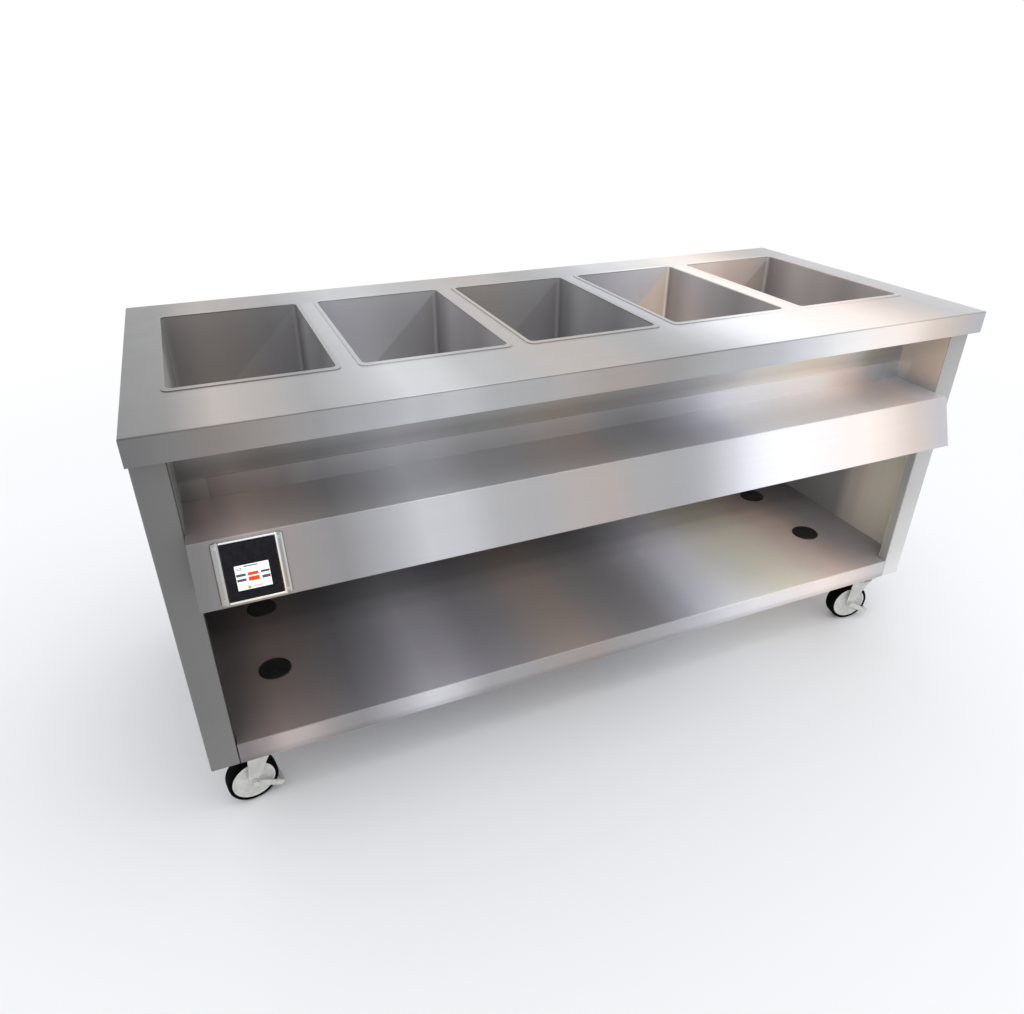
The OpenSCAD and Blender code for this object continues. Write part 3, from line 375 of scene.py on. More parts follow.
def build_tone_group():
    """A tone from a ramp, twice as strong as the ramp's value, laid on where Mask is."""
    group, given, out = new_group(
        "laid tone", [("Color", COLOR, NEUTRAL), ("Tone", COLOR, NEUTRAL), ("Mask", FLOAT, 1.0)],
        [("Color", COLOR)])
    laid = twice(group, given["Color"], given["Tone"])
    group.links.new(mix_colors(group, "MIX", given["Mask"], given["Color"], laid), out["Color"])
    return group


FACING = build_facing_group()
WELLS = build_well_group()
TONE = build_tone_group()
PAINTED_SHEEN = build_painted_sheen_group()
BRUSHING = build_brushing_group()
HANDLING = build_handling_group()

# Finishes
GRAIN_ROUGHNESS = 0.12
STREAK_FROM, STREAK_TO, STREAK_TONE = 0.3, 0.7, 0.03


def new_finish(name, **constants):
    """An empty material with a Principled shader, and constants set on the shader's own sockets."""
    finish = bpy.data.materials.new(name)
    tree = empty_tree(finish)
    shader = add(tree, "ShaderNodeBsdfPrincipled", {k.replace("_", " "): v for k, v in constants.items()})
    add(tree, "ShaderNodeOutputMaterial", {"Surface": shader.outputs[0]})
    return finish, tree, shader.inputs


def lay_relief(tree, shader, height, distance):
    bump = add(tree, "ShaderNodeBump", {"Height": height, "Strength": 1.0, "Distance": distance})
    tree.links.new(bump.outputs[0], shader["Normal"])


def brushed_steel(name, steel, roughness=0.3, contrast=1.0, tint=1.0, grain=(7, 700, 700), depth=1.0,
                  smear=0.06, relief=0.00003, drift=0.06, metallic=0.9, even=0.55, shift=0.0,
                  patch=(1.0, 1.0), tones=()):
    """Brushed sheet with painted sheen bands. Tones are painted light and shade as (mask, axis, stops): which
    way a face looks, and factors along X, Y or Z.
    """
    finish, tree, shader = new_finish(name, Metallic=metallic)
    painted_sheen = use_group(tree, PAINTED_SHEEN, {"Steel": (*steel, 1), "Contrast": contrast, "Tint": tint,
                                     "Drift": drift, "Even": even, "Upright Shift": shift,
                                     "Flat Patch": patch[0], "Upright Patch": patch[1]})
    brushing = use_group(tree, BRUSHING, {"Grain": grain, "Depth": depth})
    marks = use_group(tree, HANDLING, {"Amount": smear})
    streak = STREAK_TONE * depth
    streaked = stretch(tree, brushing["Streak"], STREAK_FROM, STREAK_TO, 1 - streak, 1 + streak)
    color = mix_colors(tree, "MULTIPLY", 1.0, painted_sheen["Color"], streaked)
    where = use_group(tree, FACING, {})
    # Painted light and shade, laid by the way each face looks and by its place
    for mask, axis, stops in tones:
        low, high = stops[0][0], stops[-1][0]
        share = stretch(tree, where[axis], low, high)
        tone = ramp(tree, share, [((at - low) / (high - low), half) for at, half in halved(stops)])
        color = use_group(tree, TONE, {"Color": color, "Tone": tone, "Mask": where[mask]})["Color"]
    tree.links.new(color, shader["Base Color"])
    rough = calc(tree, "MULTIPLY_ADD", brushing["Roughness"], GRAIN_ROUGHNESS, roughness)
    tree.links.new(calc(tree, "ADD", rough, marks["Smear"], clamp=True), shader["Roughness"])
    lay_relief(tree, shader, brushing["Height"], relief)
    return finish


RIM_EDGE = 0.0016
WALL_ROUGHNESS, WALL_METALLIC, RIM_METALLIC = 0.3, 0.4, 0.9
WALL_GRAIN, WALL_RELIEF = (900, 900, 12), 0.000002


def well_steel(name):
    """Satin walls with painted light and shade, and the counter's painted sheen bands on the raised rim."""
    finish, tree, shader = new_finish(name)
    # Painted sheen bands: at half contrast on the walls, at full contrast on the rim
    inside = use_group(tree, PAINTED_SHEEN, {"Steel": WHITE, "Contrast": 0.5, "Tint": 0.8, "Drift": 0.0,
                                      "Even": 0.5})["Color"]
    rim = use_group(tree, PAINTED_SHEEN, {"Steel": WHITE, "Drift": 0.06, "Upright Shift": 0.1, "Flat Patch": 1.1,
                                   "Upright Patch": 0.0})["Color"]
    walls = use_group(tree, WELLS, {"Color": inside})["Color"]
    where = use_group(tree, FACING, {})
    # Painted highlight on the walls that look forwards, in the wells towards the right
    glow = ramp(tree, stretch(tree, where["X"], WELL_GLOW_FROM, WELL_GLOW_TO), halved(WELL_GLOW))
    walls = use_group(tree, TONE, {"Color": walls, "Tone": glow, "Mask": where["Front"]})["Color"]
    on_rim = stretch(tree, where["Z"], COUNTER_TOP - RIM_EDGE, COUNTER_TOP)
    tree.links.new(mix_colors(tree, "MIX", on_rim, walls, rim), shader["Base Color"])
    tree.links.new(stretch(tree, on_rim, 0.0, 1.0, WALL_METALLIC, RIM_METALLIC), shader["Metallic"])
    brushing = use_group(tree, BRUSHING, {"Grain": WALL_GRAIN, "Depth": 0.1})
    rough = calc(tree, "MULTIPLY_ADD", brushing["Roughness"], GRAIN_ROUGHNESS, WALL_ROUGHNESS)
    tree.links.new(rough, shader["Roughness"])
    lay_relief(tree, shader, brushing["Height"], WALL_RELIEF)
    return finish


def speckled(name, first, second, scale, roughness, metallic=0.0, relief=0.0001, cells=False, spread=0.15,
             **constants):
    """A plain finish with cloudy or flaky colour, uneven gloss and a fine relief."""
    finish, tree, shader = new_finish(name, Metallic=metallic, **constants)
    place = object_place(tree)
    if cells:
        pattern = add(tree, "ShaderNodeTexVoronoi", {"Vector": place, "Scale": scale})
        value = add(tree, "ShaderNodeSeparateColor", {0: pattern.outputs["Color"]}).outputs[0]
    else:
        value = noise(tree, place, scale, Detail=4.0)
    tree.links.new(ramp(tree, value, [(0.3, first), (0.7, second)]), shader["Base Color"])
    uneven = calc(tree, "MULTIPLY_ADD", minus(tree, value, 0.5), spread, roughness)
    tree.links.new(uneven, shader["Roughness"])
    lay_relief(tree, shader, value, relief)
    return finish


# Painted reflections on the bezel's beads, as stripes of tone: (mm across from the middle, tone)
CHROME_HALF = 62.0
CHROME_LEFT = [(-61.5, 0.16), (-60.4, 0.20), (-59.0, 0.34), (-56.5, 0.40), (-54.0, 0.36), (-52.0, 0.44),
               (-50.0, 0.52), (-48.2, 0.40), (-46.6, 0.34)]
CHROME_BARS = [(-46.0, 0.9), (46.0, 0.9)]
CHROME_RIGHT = [(46.6, 0.85), (48.4, 1.0), (50.0, 0.80), (51.4, 0.42), (53.6, 0.30), (56.0, 0.36),
                (58.2, 0.62), (59.8, 0.50), (61.4, 0.22)]
# Painted reflection tints: cool white at the head, warm at the foot, cream on a stripe of the right bead
CHROME_HEAD, CHROME_FOOT, CHROME_WARM_REFLECTION = (0.98, 0.99, 1.0, 1), (1.0, 0.93, 0.84, 1), (1.0, 0.86, 0.70, 1)
FOOT_FROM, FOOT_TO = 0.01, -0.05
WARM_REFLECTION_FROM, WARM_REFLECTION_TO = 0.04, 0.0
WARM_REFLECTION_STRIP = (0.0462, 0.0515)
CHROME_WAVER, CHROME_WAVER_SCALE = 0.0016, 45.0
CHROME_ROUGHNESS, CHROME_UNEVEN, CHROME_RELIEF = 0.1, 0.08, 0.00002


def chrome_with_painted_reflections(name):
    """Polished chrome with painted reflections: long stripes of painted reflection on the beads, placed by X
    of their own frame, bright bars, a painted warm reflection towards the foot and a painted warm stripe low
    on the right bead.
    """
    finish, tree, shader = new_finish(name, Metallic=0.9)
    place = object_place(tree)
    x, y, _ = split(tree, place)
    waver = noise(tree, place, CHROME_WAVER_SCALE, Detail=2.0)
    across = plus(tree, x, times(tree, minus(tree, waver, 0.5), CHROME_WAVER))
    share = stretch(tree, across, -CHROME_HALF / 1000, CHROME_HALF / 1000)
    painted_reflection_stripes = CHROME_LEFT + CHROME_BARS + CHROME_RIGHT
    stops = [((at + CHROME_HALF) / (2 * CHROME_HALF), tone) for at, tone in painted_reflection_stripes]
    tint = mix_colors(tree, "MIX", stretch(tree, y, FOOT_FROM, FOOT_TO), CHROME_HEAD, CHROME_FOOT)
    past_near, short_of_far = (calc(tree, how, across, edge)
                               for how, edge in zip(("GREATER_THAN", "LESS_THAN"), WARM_REFLECTION_STRIP))
    warm_reflection = times(tree, times(tree, past_near, short_of_far), stretch(tree, y, WARM_REFLECTION_FROM, WARM_REFLECTION_TO))
    tint = mix_colors(tree, "MIX", warm_reflection, tint, CHROME_WARM_REFLECTION)
    color = mix_colors(tree, "MULTIPLY", 1.0, ramp(tree, share, stops, "LINEAR"), tint)
    tree.links.new(color, shader["Base Color"])
    tree.links.new(calc(tree, "MULTIPLY_ADD", waver, CHROME_UNEVEN, CHROME_ROUGHNESS), shader["Roughness"])
    lay_relief(tree, shader, waver, CHROME_RELIEF)
    return finish


# Painted light and shade on the sheets, by the way each face looks: (faces, axis, stops), a stop being a
# place in metres and a factor, grey or coloured
# Painted reflection bands along Y on the faces that look outwards
OUTER_REFLECTION_BANDS = [(-0.38, 0.88), (-0.26, 1.02), (-0.12, 1.14), (0.02, 0.96), (0.12, 0.86), (0.24, 1.04),
                 (0.33, 1.1), (0.43, 0.92)]
COUNTER_TONES = [
    ("Front", "X", [(-0.94, 0.82), (-0.85, 0.95), (-0.68, 1.2), (-0.45, 0.9), (-0.35, 1.03), (-0.2, 1.0),
                    (-0.05, 0.88), (0.05, 0.86), (0.22, 1.14), (0.45, 0.9), (0.6, 1.03), (0.66, 1.05),
                    (0.8, 0.84), (0.94, (0.82, 0.9, 1.02))]),
    ("Up", "X", [(-0.94, 1.0), (-0.7, 1.2), (-0.45, 1.12), (-0.05, 1.0), (0.05, 0.93), (0.25, 1.22),
                 (0.42, 1.05), (0.85, 0.97), (0.94, 1.0)]),
    ("Up Rear", "X", [(-0.94, 0.97), (-0.85, 0.95), (-0.75, 0.8), (-0.62, 0.98), (-0.45, 0.84), (-0.3, 0.97),
                      (0.1, 0.95), (0.25, 0.78), (0.35, 0.7), (0.45, 0.78), (0.56, 0.95), (0.7, 0.94),
                      (0.94, 0.85)]),
    ("Outer", "Y", OUTER_REFLECTION_BANDS),
    # Painted shade on the bends, dimming their highlight
    ("Bend", "X", [(-0.94, 0.6), (-0.6, 0.5), (0.4, 0.5), (0.94, 0.8)]),
]
# End panels: painted light and shade on the inner sides and the fronts
PANEL_TONES = [
    ("Outer", "Y", OUTER_REFLECTION_BANDS),
    ("Side Left", "Y", [(-0.353, 0.25), (-0.329, 0.25), (-0.325, (1.3, 1.25, 1.15)),
                        (-0.13, (1.3, 1.25, 1.15)), (-0.08, 0.9), (0.4, 0.8)]),
    ("Side Right", "Y", [(-0.353, (1.07, 1.08, 1.02)), (-0.329, (1.07, 1.08, 1.02)),
                         (-0.325, (1.9, 1.8, 1.45)), (-0.2, (2.0, 1.85, 1.6)), (-0.13, (1.6, 1.5, 1.35)),
                         (-0.08, 0.9), (0.4, 0.8)]),
    ("Front Left", "Z", [(0.15, 0.95), (0.35, 0.85), (0.8, 0.78)]),
    ("Front Right", "Z", [(0.15, 1.5), (0.28, 1.25), (0.45, 1.05), (0.6, 0.97), (0.88, 0.8)]),
]
# Plate shelf: painted light and reflection on its top and front
SHELF_TONES = [
    ("Up", "X", [(-0.88, (1.38, 1.16, 1.14)), (-0.76, (1.4, 1.3, 1.25)), (-0.6, (1.28, 1.26, 1.22)),
                 (-0.5, 1.3), (0.05, 1.1), (0.25, 1.32), (0.45, 1.12), (0.65, 1.3), (0.88, 1.5)]),
    ("Front", "X", [(-0.88, 0.82), (-0.5, 1.0), (0.1, 1.0), (0.27, 1.28), (0.45, 1.08), (0.88, 1.08)]),
    ("Front Rear", "X", [(-0.88, 0.9), (-0.8, 0.85), (-0.7, 1.02), (-0.65, 1.3), (-0.45, 0.93), (-0.3, 1.1),
                         (-0.05, 1.17), (0.05, 1.0), (0.15, 1.02), (0.25, 0.9), (0.35, 0.95), (0.55, 1.15),
                         (0.7, 1.02), (0.84, (0.9, 1.05, 1.2))]),
]
# Bay liner: painted shade on the front faces, painted light and reflection on the inner sides
LINER_TONES = [
    ("Front", "Z", [(0.7, 0.3), (0.9, 0.3)]),
    ("Side Right", "Z", [(0.71, (0.86, 0.89, 0.92)), (0.75, (1.35, 1.19, 1.08)), (0.86, (1.22, 1.07, 0.91))]),
    ("Side Left", "Z", [(0.71, (1.6, 1.72, 1.95)), (0.86, (2.0, 1.95, 1.98))]),
]
# Well housing front: painted light low down, painted light and shade along X
HOUSING_TONES = [
    ("Front", "Z", [(0.722, 1.9), (0.745, 1.9), (0.762, 1.15), (0.775, 1.0), (0.86, 0.97)]),
    ("Front", "X", [(-0.88, (0.64, 0.68, 0.68)), (-0.75, (0.55, 0.59, 0.61)), (-0.62, (0.86, 0.88, 0.9)),
                    (-0.45, 0.74), (-0.23, (0.88, 0.9, 0.9)), (0.02, (0.86, 0.84, 0.84)), (0.28, 0.78),
                    (0.58, (1.0, 1.0, 0.95)), (0.82, (0.86, 1.0, 1.08))]),
]
# Bottom shelf: painted light along X, painted shade towards the back and low on its front
DECK_TONES = [
    ("Up", "X", [(-0.8, (1.05, 0.95, 0.94)), (-0.6, (1.05, 1.05, 1.1)), (-0.45, (1.18, 1.18, 1.22)),
                 (-0.3, (1.07, 1.07, 1.14)), (-0.1, (1.26, 1.2, 1.12)), (0.1, 0.95), (0.3, (1.48, 1.53, 1.6)),
                 (0.55, (1.45, 1.55, 1.34)), (0.7, (1.36, 1.3, 1.25)), (0.85, 0.9), (0.93, 0.72)]),
    ("Up", "Y", [(-0.35, 0.96), (-0.06, 1.07), (0.0, 0.88), (0.06, 0.6), (0.12, 0.5)]),
    ("Front", "Z", [(0.156, 0.8), (0.172, 1.0)]),
    ("Front", "X", [(-0.94, 1.0), (-0.85, (0.86, 0.78, 0.8)), (-0.75, 1.1), (-0.66, 0.94), (-0.45, 1.22),
                    (-0.32, 0.9), (-0.08, 0.82), (0.25, 1.08), (0.42, 0.9), (0.7, 1.0),
                    (0.88, (0.96, 1.06, 1.12))]),
]

FINISHES = {
    # Sheets
    "counter_steel": brushed_steel("counter brushed steel", (0.99, 0.995, 1.01), 0.30, depth=0.35, shift=0.1,
                                   patch=(1.1, 0.0), tones=COUNTER_TONES),
    "pan_steel": well_steel("well satin steel"),
    "panel_steel": brushed_steel("end panel brushed steel", (0.93, 0.92, 0.91), 0.34, tint=0.5,
                                 grain=(700, 700, 7), depth=0.35, metallic=0.35, tones=PANEL_TONES),
    "shelf_steel": brushed_steel("plate shelf brushed steel", (0.995, 0.99, 1.02), 0.30, depth=0.35,
                                 metallic=0.45, patch=(1.4, 1.0), tones=SHELF_TONES),
    "liner_steel": brushed_steel("bay liner polished steel", (1.0, 0.96, 0.90), 0.16, contrast=0.85, tint=0.6,
                                 grain=(500, 500, 9), depth=0.3, metallic=0.4, even=0.8, patch=(0.0, 0.0),
                                 tones=LINER_TONES),
    "housing_steel": brushed_steel("well housing steel", (0.8, 0.79, 0.78), 0.30, contrast=0.9, depth=0.35,
                                   tones=HOUSING_TONES),
    "deck_steel": brushed_steel("bottom shelf brushed steel", (1.0, 0.975, 1.0), 0.32, depth=0.35,
                                metallic=0.15, shift=0.05, patch=(1.0, 1.5), tones=DECK_TONES),
    "back_steel": brushed_steel("back panel brushed steel", (1.0, 1.0, 0.99), 0.32, contrast=0.7, depth=0.35,
                                metallic=0.25),
    "galvanised": speckled("galvanised sheet", (0.54, 0.55, 0.56), (0.64, 0.65, 0.66), 85, 0.42, 1.0,
                           relief=0.00002, cells=True, spread=0.08),
    "aluminised": speckled("aluminised tray sheet", (0.5, 0.5, 0.5), (0.66, 0.66, 0.66), 80, 0.5, 1.0,
                           cells=True),
    # Drains and heating
    "drain_steel": brushed_steel("drain polished steel", (1.05, 1.05, 1.05), 0.2, contrast=0.2, tint=0.2,
                                 grain=(300, 300, 300)),
    "drain_brass": speckled("drain brass", (0.62, 0.44, 0.18), (0.78, 0.6, 0.3), 45, 0.32, 1.0),
    "copper": speckled("drain copper", (0.62, 0.32, 0.2), (0.8, 0.48, 0.33), 18, 0.35, 1.0),
    "lever_vinyl": speckled("dipped red vinyl", (0.42, 0.03, 0.02), (0.52, 0.05, 0.03), 90, 0.4),
    "element_sheath": speckled("heat stained element sheath", (0.16, 0.13, 0.11), (0.34, 0.31, 0.29), 30, 0.5,
                               0.8),
    "mineral_wool": speckled("mineral wool board", (0.5, 0.43, 0.24), (0.7, 0.64, 0.44), 160, 0.95,
                             relief=0.002),
    # Control
    "bezel_chrome": chrome_with_painted_reflections("bezel chrome with painted reflections"),
    "gloss_black": speckled("gloss black panel", (0.006, 0.006, 0.008), (0.012, 0.011, 0.016), 120, 0.1,
                            relief=0.00001, spread=0.05, Specular_IOR_Level=0.12),
    "display": speckled("lit display", (0.9, 0.92, 0.93), (0.98, 0.99, 1.0), 200, 0.2, relief=0.00001,
                        Emission_Color=(0.95, 0.97, 1.0, 1), Emission_Strength=0.35),
    # Casters, screws and plugs
    "screw_steel": speckled("screw steel", (0.5, 0.5, 0.5), (0.72, 0.72, 0.72), 140, 0.3, 1.0),
    "black_plastic": speckled("black moulded plastic", (0.012, 0.012, 0.012), (0.03, 0.03, 0.03), 300, 0.45,
                              relief=0.00008),
    "zinc": speckled("bright zinc plate", (0.56, 0.56, 0.53), (0.68, 0.68, 0.64), 30, 0.42, 0.25),
    "hub_grey": speckled("pale grey hub plastic", (0.60, 0.60, 0.575), (0.71, 0.71, 0.685), 60, 0.5),
    "tyre_black": speckled("tyre rubber", (0.0015, 0.0015, 0.0015), (0.005, 0.005, 0.0045), 220, 0.7,
                           relief=0.0002, Specular_IOR_Level=0.02),
}


def lit_mark(name, color, strength):
    return speckled(name, tuple(0.92 * c for c in color), color, 600, 0.25, relief=0.00001,
                    Specular_IOR_Level=0.2, Emission_Color=(*color, 1), Emission_Strength=strength)


RED_TILE = lit_mark("lit red tile", (1.0, 0.045, 0.0), 0.55)
GREY_BAR = lit_mark("lit grey bar", (0.10, 0.10, 0.105), 0.15)
PALE_LINE = lit_mark("lit pale grey line", (0.17, 0.175, 0.18), 0.2)
PINK_LINE = lit_mark("lit pink line", (0.86, 0.40, 0.36), 0.3)
OLIVE_DOT = lit_mark("lit olive dot", (0.40, 0.36, 0.05), 0.35)


def dress_cad_nodes():
    slot_of = {row["node"]: row["material_slot"] for row in frame["record"]["subparts"]}
    for name, node in nodes.items():
        node.data.materials.clear()
        node.data.materials.append(FINISHES[slot_of[name]])


dress_cad_nodes()

# Shapes. Lengths from here to the studio are millimetres in the piece's own frame, unless metres are named
MM = 0.001


def loft(shape, loops, closed=True):
    """Skin through loops of equal length, with a face on the first and the last if closed."""
    rows = [[shape.verts.new([v * MM for v in point]) for point in loop] for loop in loops]
    count = len(rows[0])
    for low, high in zip(rows, rows[1:]):
        for i in range(count):
            j = (i + 1) % count
            shape.faces.new((low[i], low[j], high[j], high[i]))
    if closed:
        shape.faces.new(rows[0][::-1])
        shape.faces.new(rows[-1])
    return rows


def raised(outline, z):
    return [(x, y, z) for x, y in outline]


def ring(r, steps, cx=0.0, cy=0.0):
    """Points round a full circle."""
    turns = [math.tau * k / steps for k in range(steps)]
    return [(cx + r * math.cos(t), cy + r * math.sin(t)) for t in turns]


def arc(cx, cy, r, start, end, steps=12):
    """Points of an arc, angles in degrees."""
    turns = [math.radians(start + (end - start) * k / steps) for k in range(steps + 1)]
    return [(cx + r * math.cos(t), cy + r * math.sin(t)) for t in turns]


def round_outline(width, height, r, cx=0.0, cy=0.0, steps=5):
    """A rectangle with round corners."""
    x, y = width / 2 - r, height / 2 - r
    outline = []
    for k, (dx, dy) in enumerate([(x, y), (-x, y), (-x, -y), (x, -y)]):
        outline += arc(cx + dx, cy + dy, r, 90 * k, 90 * k + 90, steps)
    return outline


def half_oval(width, height, steps=14):
    turns = [math.pi * k / steps for k in range(steps + 1)]
    return [(-width / 2 * math.cos(t), height * math.sin(t) ** 0.8) for t in turns]


def both_sides(half):
    """A profile and its mirror image, as one closed profile."""
    return half + [(r, -z) for r, z in reversed(half)]


def lathe(shape, profile, steps=64, closed=True):
    """Turned form round Z through (radius, height) points. An open one joins its last loop to its first."""
    rows = loft(shape, [raised(ring(r, steps), z) for r, z in profile], closed)
    if not closed:
        for i in range(steps):
            j = (i + 1) % steps
            shape.faces.new((rows[-1][i], rows[-1][j], rows[0][j], rows[0][i]))


def slab(shape, outline, low, high):
    loft(shape, [raised(outline, low), raised(outline, high)])


def make_piece(name, build, place, body, slot_name, stands_for=(), sharp=35, rounding=0.0, finish=None):
    """A piece in its own frame. Edges over sharp degrees stay crisp, or are rounded by that many mm."""
    shape = bmesh.new()
    build(shape)
    bmesh.ops.remove_doubles(shape, verts=shape.verts, dist=1e-7)
    bmesh.ops.recalc_face_normals(shape, faces=shape.faces)
    for face in shape.faces:
        face.smooth = True
    for edge in shape.edges:
        edge.smooth = len(edge.link_faces) != 2 or edge.calc_face_angle(0.0) < math.radians(sharp)
    mesh = bpy.data.meshes.new(name)
    shape.to_mesh(mesh)
    shape.free()
    piece = bpy.data.objects.new(name, mesh)
    bpy.context.scene.collection.objects.link(piece)
    piece.matrix_world = place
    if rounding:
        edging = piece.modifiers.new("rounded edges", "BEVEL")
        edging.width, edging.segments, edging.angle_limit = rounding * MM, 2, math.radians(sharp)
        edging.harden_normals = True
    mesh.materials.append(finish or FINISHES[slot_name])
    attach(piece, body)
    if stands_for:
        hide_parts(*stands_for)
    return piece


# Casters
TRAIL, AXLE_HEIGHT, CROWN_HEIGHT = 24, 55, 133.7
WHEEL_R, TYRE_HALF, HUB_R, HUB_HALF = 55.0, 17.0, 46.9, 18.0
LEG_IN, PLATE = 18.5, 3
LEG_TOP = CROWN_HEIGHT - AXLE_HEIGHT + PLATE - 0.4
LEG_FOOT_R, LEG_FOOT_FROM, LEG_FOOT_TO, LEG_CORNER = 13, 36, -222, 2.5
LEG_HEAD = [(-52, LEG_TOP - LEG_CORNER), (-49.5, LEG_TOP), (1.5, LEG_TOP), (4, LEG_TOP - LEG_CORNER),
            (7.6, 44), (10.9, 14.4)]
LEG_BACK = [(-16.5, 15.0), (-37.5, 54.0)]
LEG_ROUNDING, ARM_ROUNDING = 0.7, 0.6
CROWN_R, CROWN_BORE_R = 36.0, 6.1
BRAKE_ANGLE, BRAKE_REACH, BRAKE_EYE_R, BRAKE_ARM_HALF, BRAKE_TIP_R = 30, 68, 10, 7, 3.5
BRAKE_EYE_OPENS, BRAKE_NECK = 45, 14
BRAKE_FACE = -(LEG_IN + 2 * PLATE + 0.3)
PAD_NEAR, PAD_FAR, PAD_LOW, PAD_TOP, PAD_ROLL = 58.2, 67.9, -7.0, -4.0, 0.7
PAD_INNER, PAD_OUTER = BRAKE_FACE + 0.2, BRAKE_FACE + 41.4
RIDGE = [(0.0, 0.0), (0.5, 0.6), (1.2, 0.6), (1.7, 0.0)]
RIDGE_FIRST, RIDGE_PITCH, RIDGE_COUNT = 59.3, 2.6, 3

# Half profiles of the wheel, as (radius, distance from its middle)
TYRE_PROFILE = [(47.1, 14.6), (47.3, 16.2), (48.3, TYRE_HALF), (49.9, TYRE_HALF), (50.3, 16.5), (50.8, 16.5),
                (51.2, 16.9), (52.4, 16.5), (53.6, 15.4), (54.4, 13.6), (54.8, 10.5), (54.85, 6.0),
                (54.85, 1.1), (WHEEL_R, 0.5)]
HUB_PROFILE = [(5.1, 17.3), (5.8, HUB_HALF), (11.9, HUB_HALF), (12.9, 17.2), (13.2, 12.6), (14.8, 10.9),
               (17.0, 10.4), (28.5, 10.3), (29.3, 9.7), (30.7, 9.7), (31.5, 10.3), (37.6, 10.5), (40.6, 11.6),
               (42.3, 14.6), (43.2, 15.8), (44.2, 16.0), (45.9, 16.0), (46.7, 15.3), (HUB_R, 14.0)]

# Profile of the crown, as (radius, height over its underside)
CROWN_PROFILE = [(CROWN_BORE_R, 4.1), (CROWN_BORE_R, 0.5), (24.0, 0.0), (35.2, 0.0), (CROWN_R, 0.8),
                 (CROWN_R, 2.4), (35.2, 3.0), (27.4, 3.0), (25.8, 3.5), (24.6, 4.1)]


def tyre_shape(shape):
    lathe(shape, both_sides(TYRE_PROFILE), 72, closed=False)


def hub_shape(shape):
    lathe(shape, both_sides(HUB_PROFILE), 64, closed=False)


def leg_outline():
    """One leg seen along the axle: the raked plate from the crown down, then round the axle bolt."""
    return LEG_HEAD + arc(0, 0, LEG_FOOT_R, LEG_FOOT_FROM, LEG_FOOT_TO, 26) + LEG_BACK


def fork_shape(shape):
    for side in (-1, 1):
        near, far = sorted((side * LEG_IN, side * (LEG_IN + PLATE)))
        slab(shape, leg_outline(), near, far)


def crown_shape(shape):
    lathe(shape, [(r, CROWN_HEIGHT + z) for r, z in CROWN_PROFILE], 72, closed=False)


def brake_shape(shape):
    """Arm with an eye round the axle bolt and a rounded tip."""
    tip_x, tip_y = BRAKE_REACH - BRAKE_TIP_R, BRAKE_ARM_HALF - BRAKE_TIP_R
    straight = (BRAKE_NECK, BRAKE_REACH - 2 * BRAKE_TIP_R)
    eye = arc(0, 0, BRAKE_EYE_R, BRAKE_EYE_OPENS, 360 - BRAKE_EYE_OPENS, 18)
    arm = (eye + [(x, -BRAKE_ARM_HALF) for x in straight]
           + arc(tip_x, -tip_y, BRAKE_TIP_R, -90, 0, 4) + arc(tip_x, tip_y, BRAKE_TIP_R, 0, 90, 4)
           + [(x, BRAKE_ARM_HALF) for x in reversed(straight)])
    slab(shape, arm, BRAKE_FACE, BRAKE_FACE + PLATE)


def brake_pad_shape(shape):
    """Foot pad: a plate with a rolled end and three grip ridges."""
    path = [(PAD_NEAR, PAD_LOW), (PAD_NEAR, PAD_TOP)]
    for k in range(RIDGE_COUNT):
        path += [(RIDGE_FIRST + RIDGE_PITCH * k + x, PAD_TOP + rise) for x, rise in RIDGE]
    path += [(PAD_FAR - 0.5, PAD_TOP), (PAD_FAR, PAD_TOP - PAD_ROLL)]
    path += [(PAD_FAR, PAD_LOW + PAD_ROLL), (PAD_FAR - PAD_ROLL, PAD_LOW)]
    slab(shape, path, PAD_INNER, PAD_OUTER)


def caster_frames(tag):
    """Frames of a caster's foot, with X along its trail, and of its axle, as the joints give them."""
    x, y, _ = joints["swivel_" + tag]["pos_m"]
    axis_x, axis_y, _ = joints["spin_" + tag]["axis"]
    stand = Matrix.Translation((x, y, 0)) @ Matrix.Rotation(math.atan2(axis_x, -axis_y), 4, "Z")
    middle = stand @ Matrix.Translation((TRAIL * MM, 0, AXLE_HEIGHT * MM))
    return stand, middle @ Matrix.Rotation(math.radians(90), 4, "X")


def shape_casters():
    for tag in ("fl", "fr", "rl", "rr"):
        stand, axle = caster_frames(tag)
        wheel, caster = "wheel_" + tag, "caster_" + tag
        make_piece("tyre_%s_moulded" % tag, tyre_shape, axle, wheel, "tyre_black", ["tyre_" + tag])
        make_piece("hub_%s_moulded" % tag, hub_shape, axle, wheel, "hub_grey", ["hub_" + tag])
        legs = make_piece("fork_%s_legs" % tag, fork_shape, axle, caster, "zinc", rounding=LEG_ROUNDING)
        make_piece("fork_%s_crown" % tag, crown_shape, stand, caster, "zinc")
        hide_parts("fork_" + tag)
        if "brake_" + tag in joints:
            tipped = axle @ Matrix.Rotation(math.radians(180 + BRAKE_ANGLE), 4, "Z")
            pedal = "pedal_" + tag
            make_piece("brake_%s_arm" % tag, brake_shape, tipped, pedal, "zinc", ["brake_" + tag],
                       rounding=ARM_ROUNDING)
            make_piece("brake_%s_pad" % tag, brake_pad_shape, tipped, pedal, "zinc")


# Deck plugs: places in metres, profile as (radius, height over the deck)
PLUG_R, PLUG_SPACING = 0.037, 0.249
PLUG_PROFILE = [(0.6, -7.4), (28.6, -7.4), (29.0, -8.0), (31.0, -8.0), (31.0, 0.02), (36.9, 0.02),
                (37.0, 0.5), (36.6, 1.5), (35.8, 2.3), (34.4, 2.8), (32.0, 3.0), (31.3, 2.9),
                (30.9, 2.25), (29.1, 2.25), (28.7, 2.85), (26, 2.7), (16, 2.45), (5.0, 2.4), (4.3, 2.2),
                (3.6, 1.9), (0.6, 1.8)]


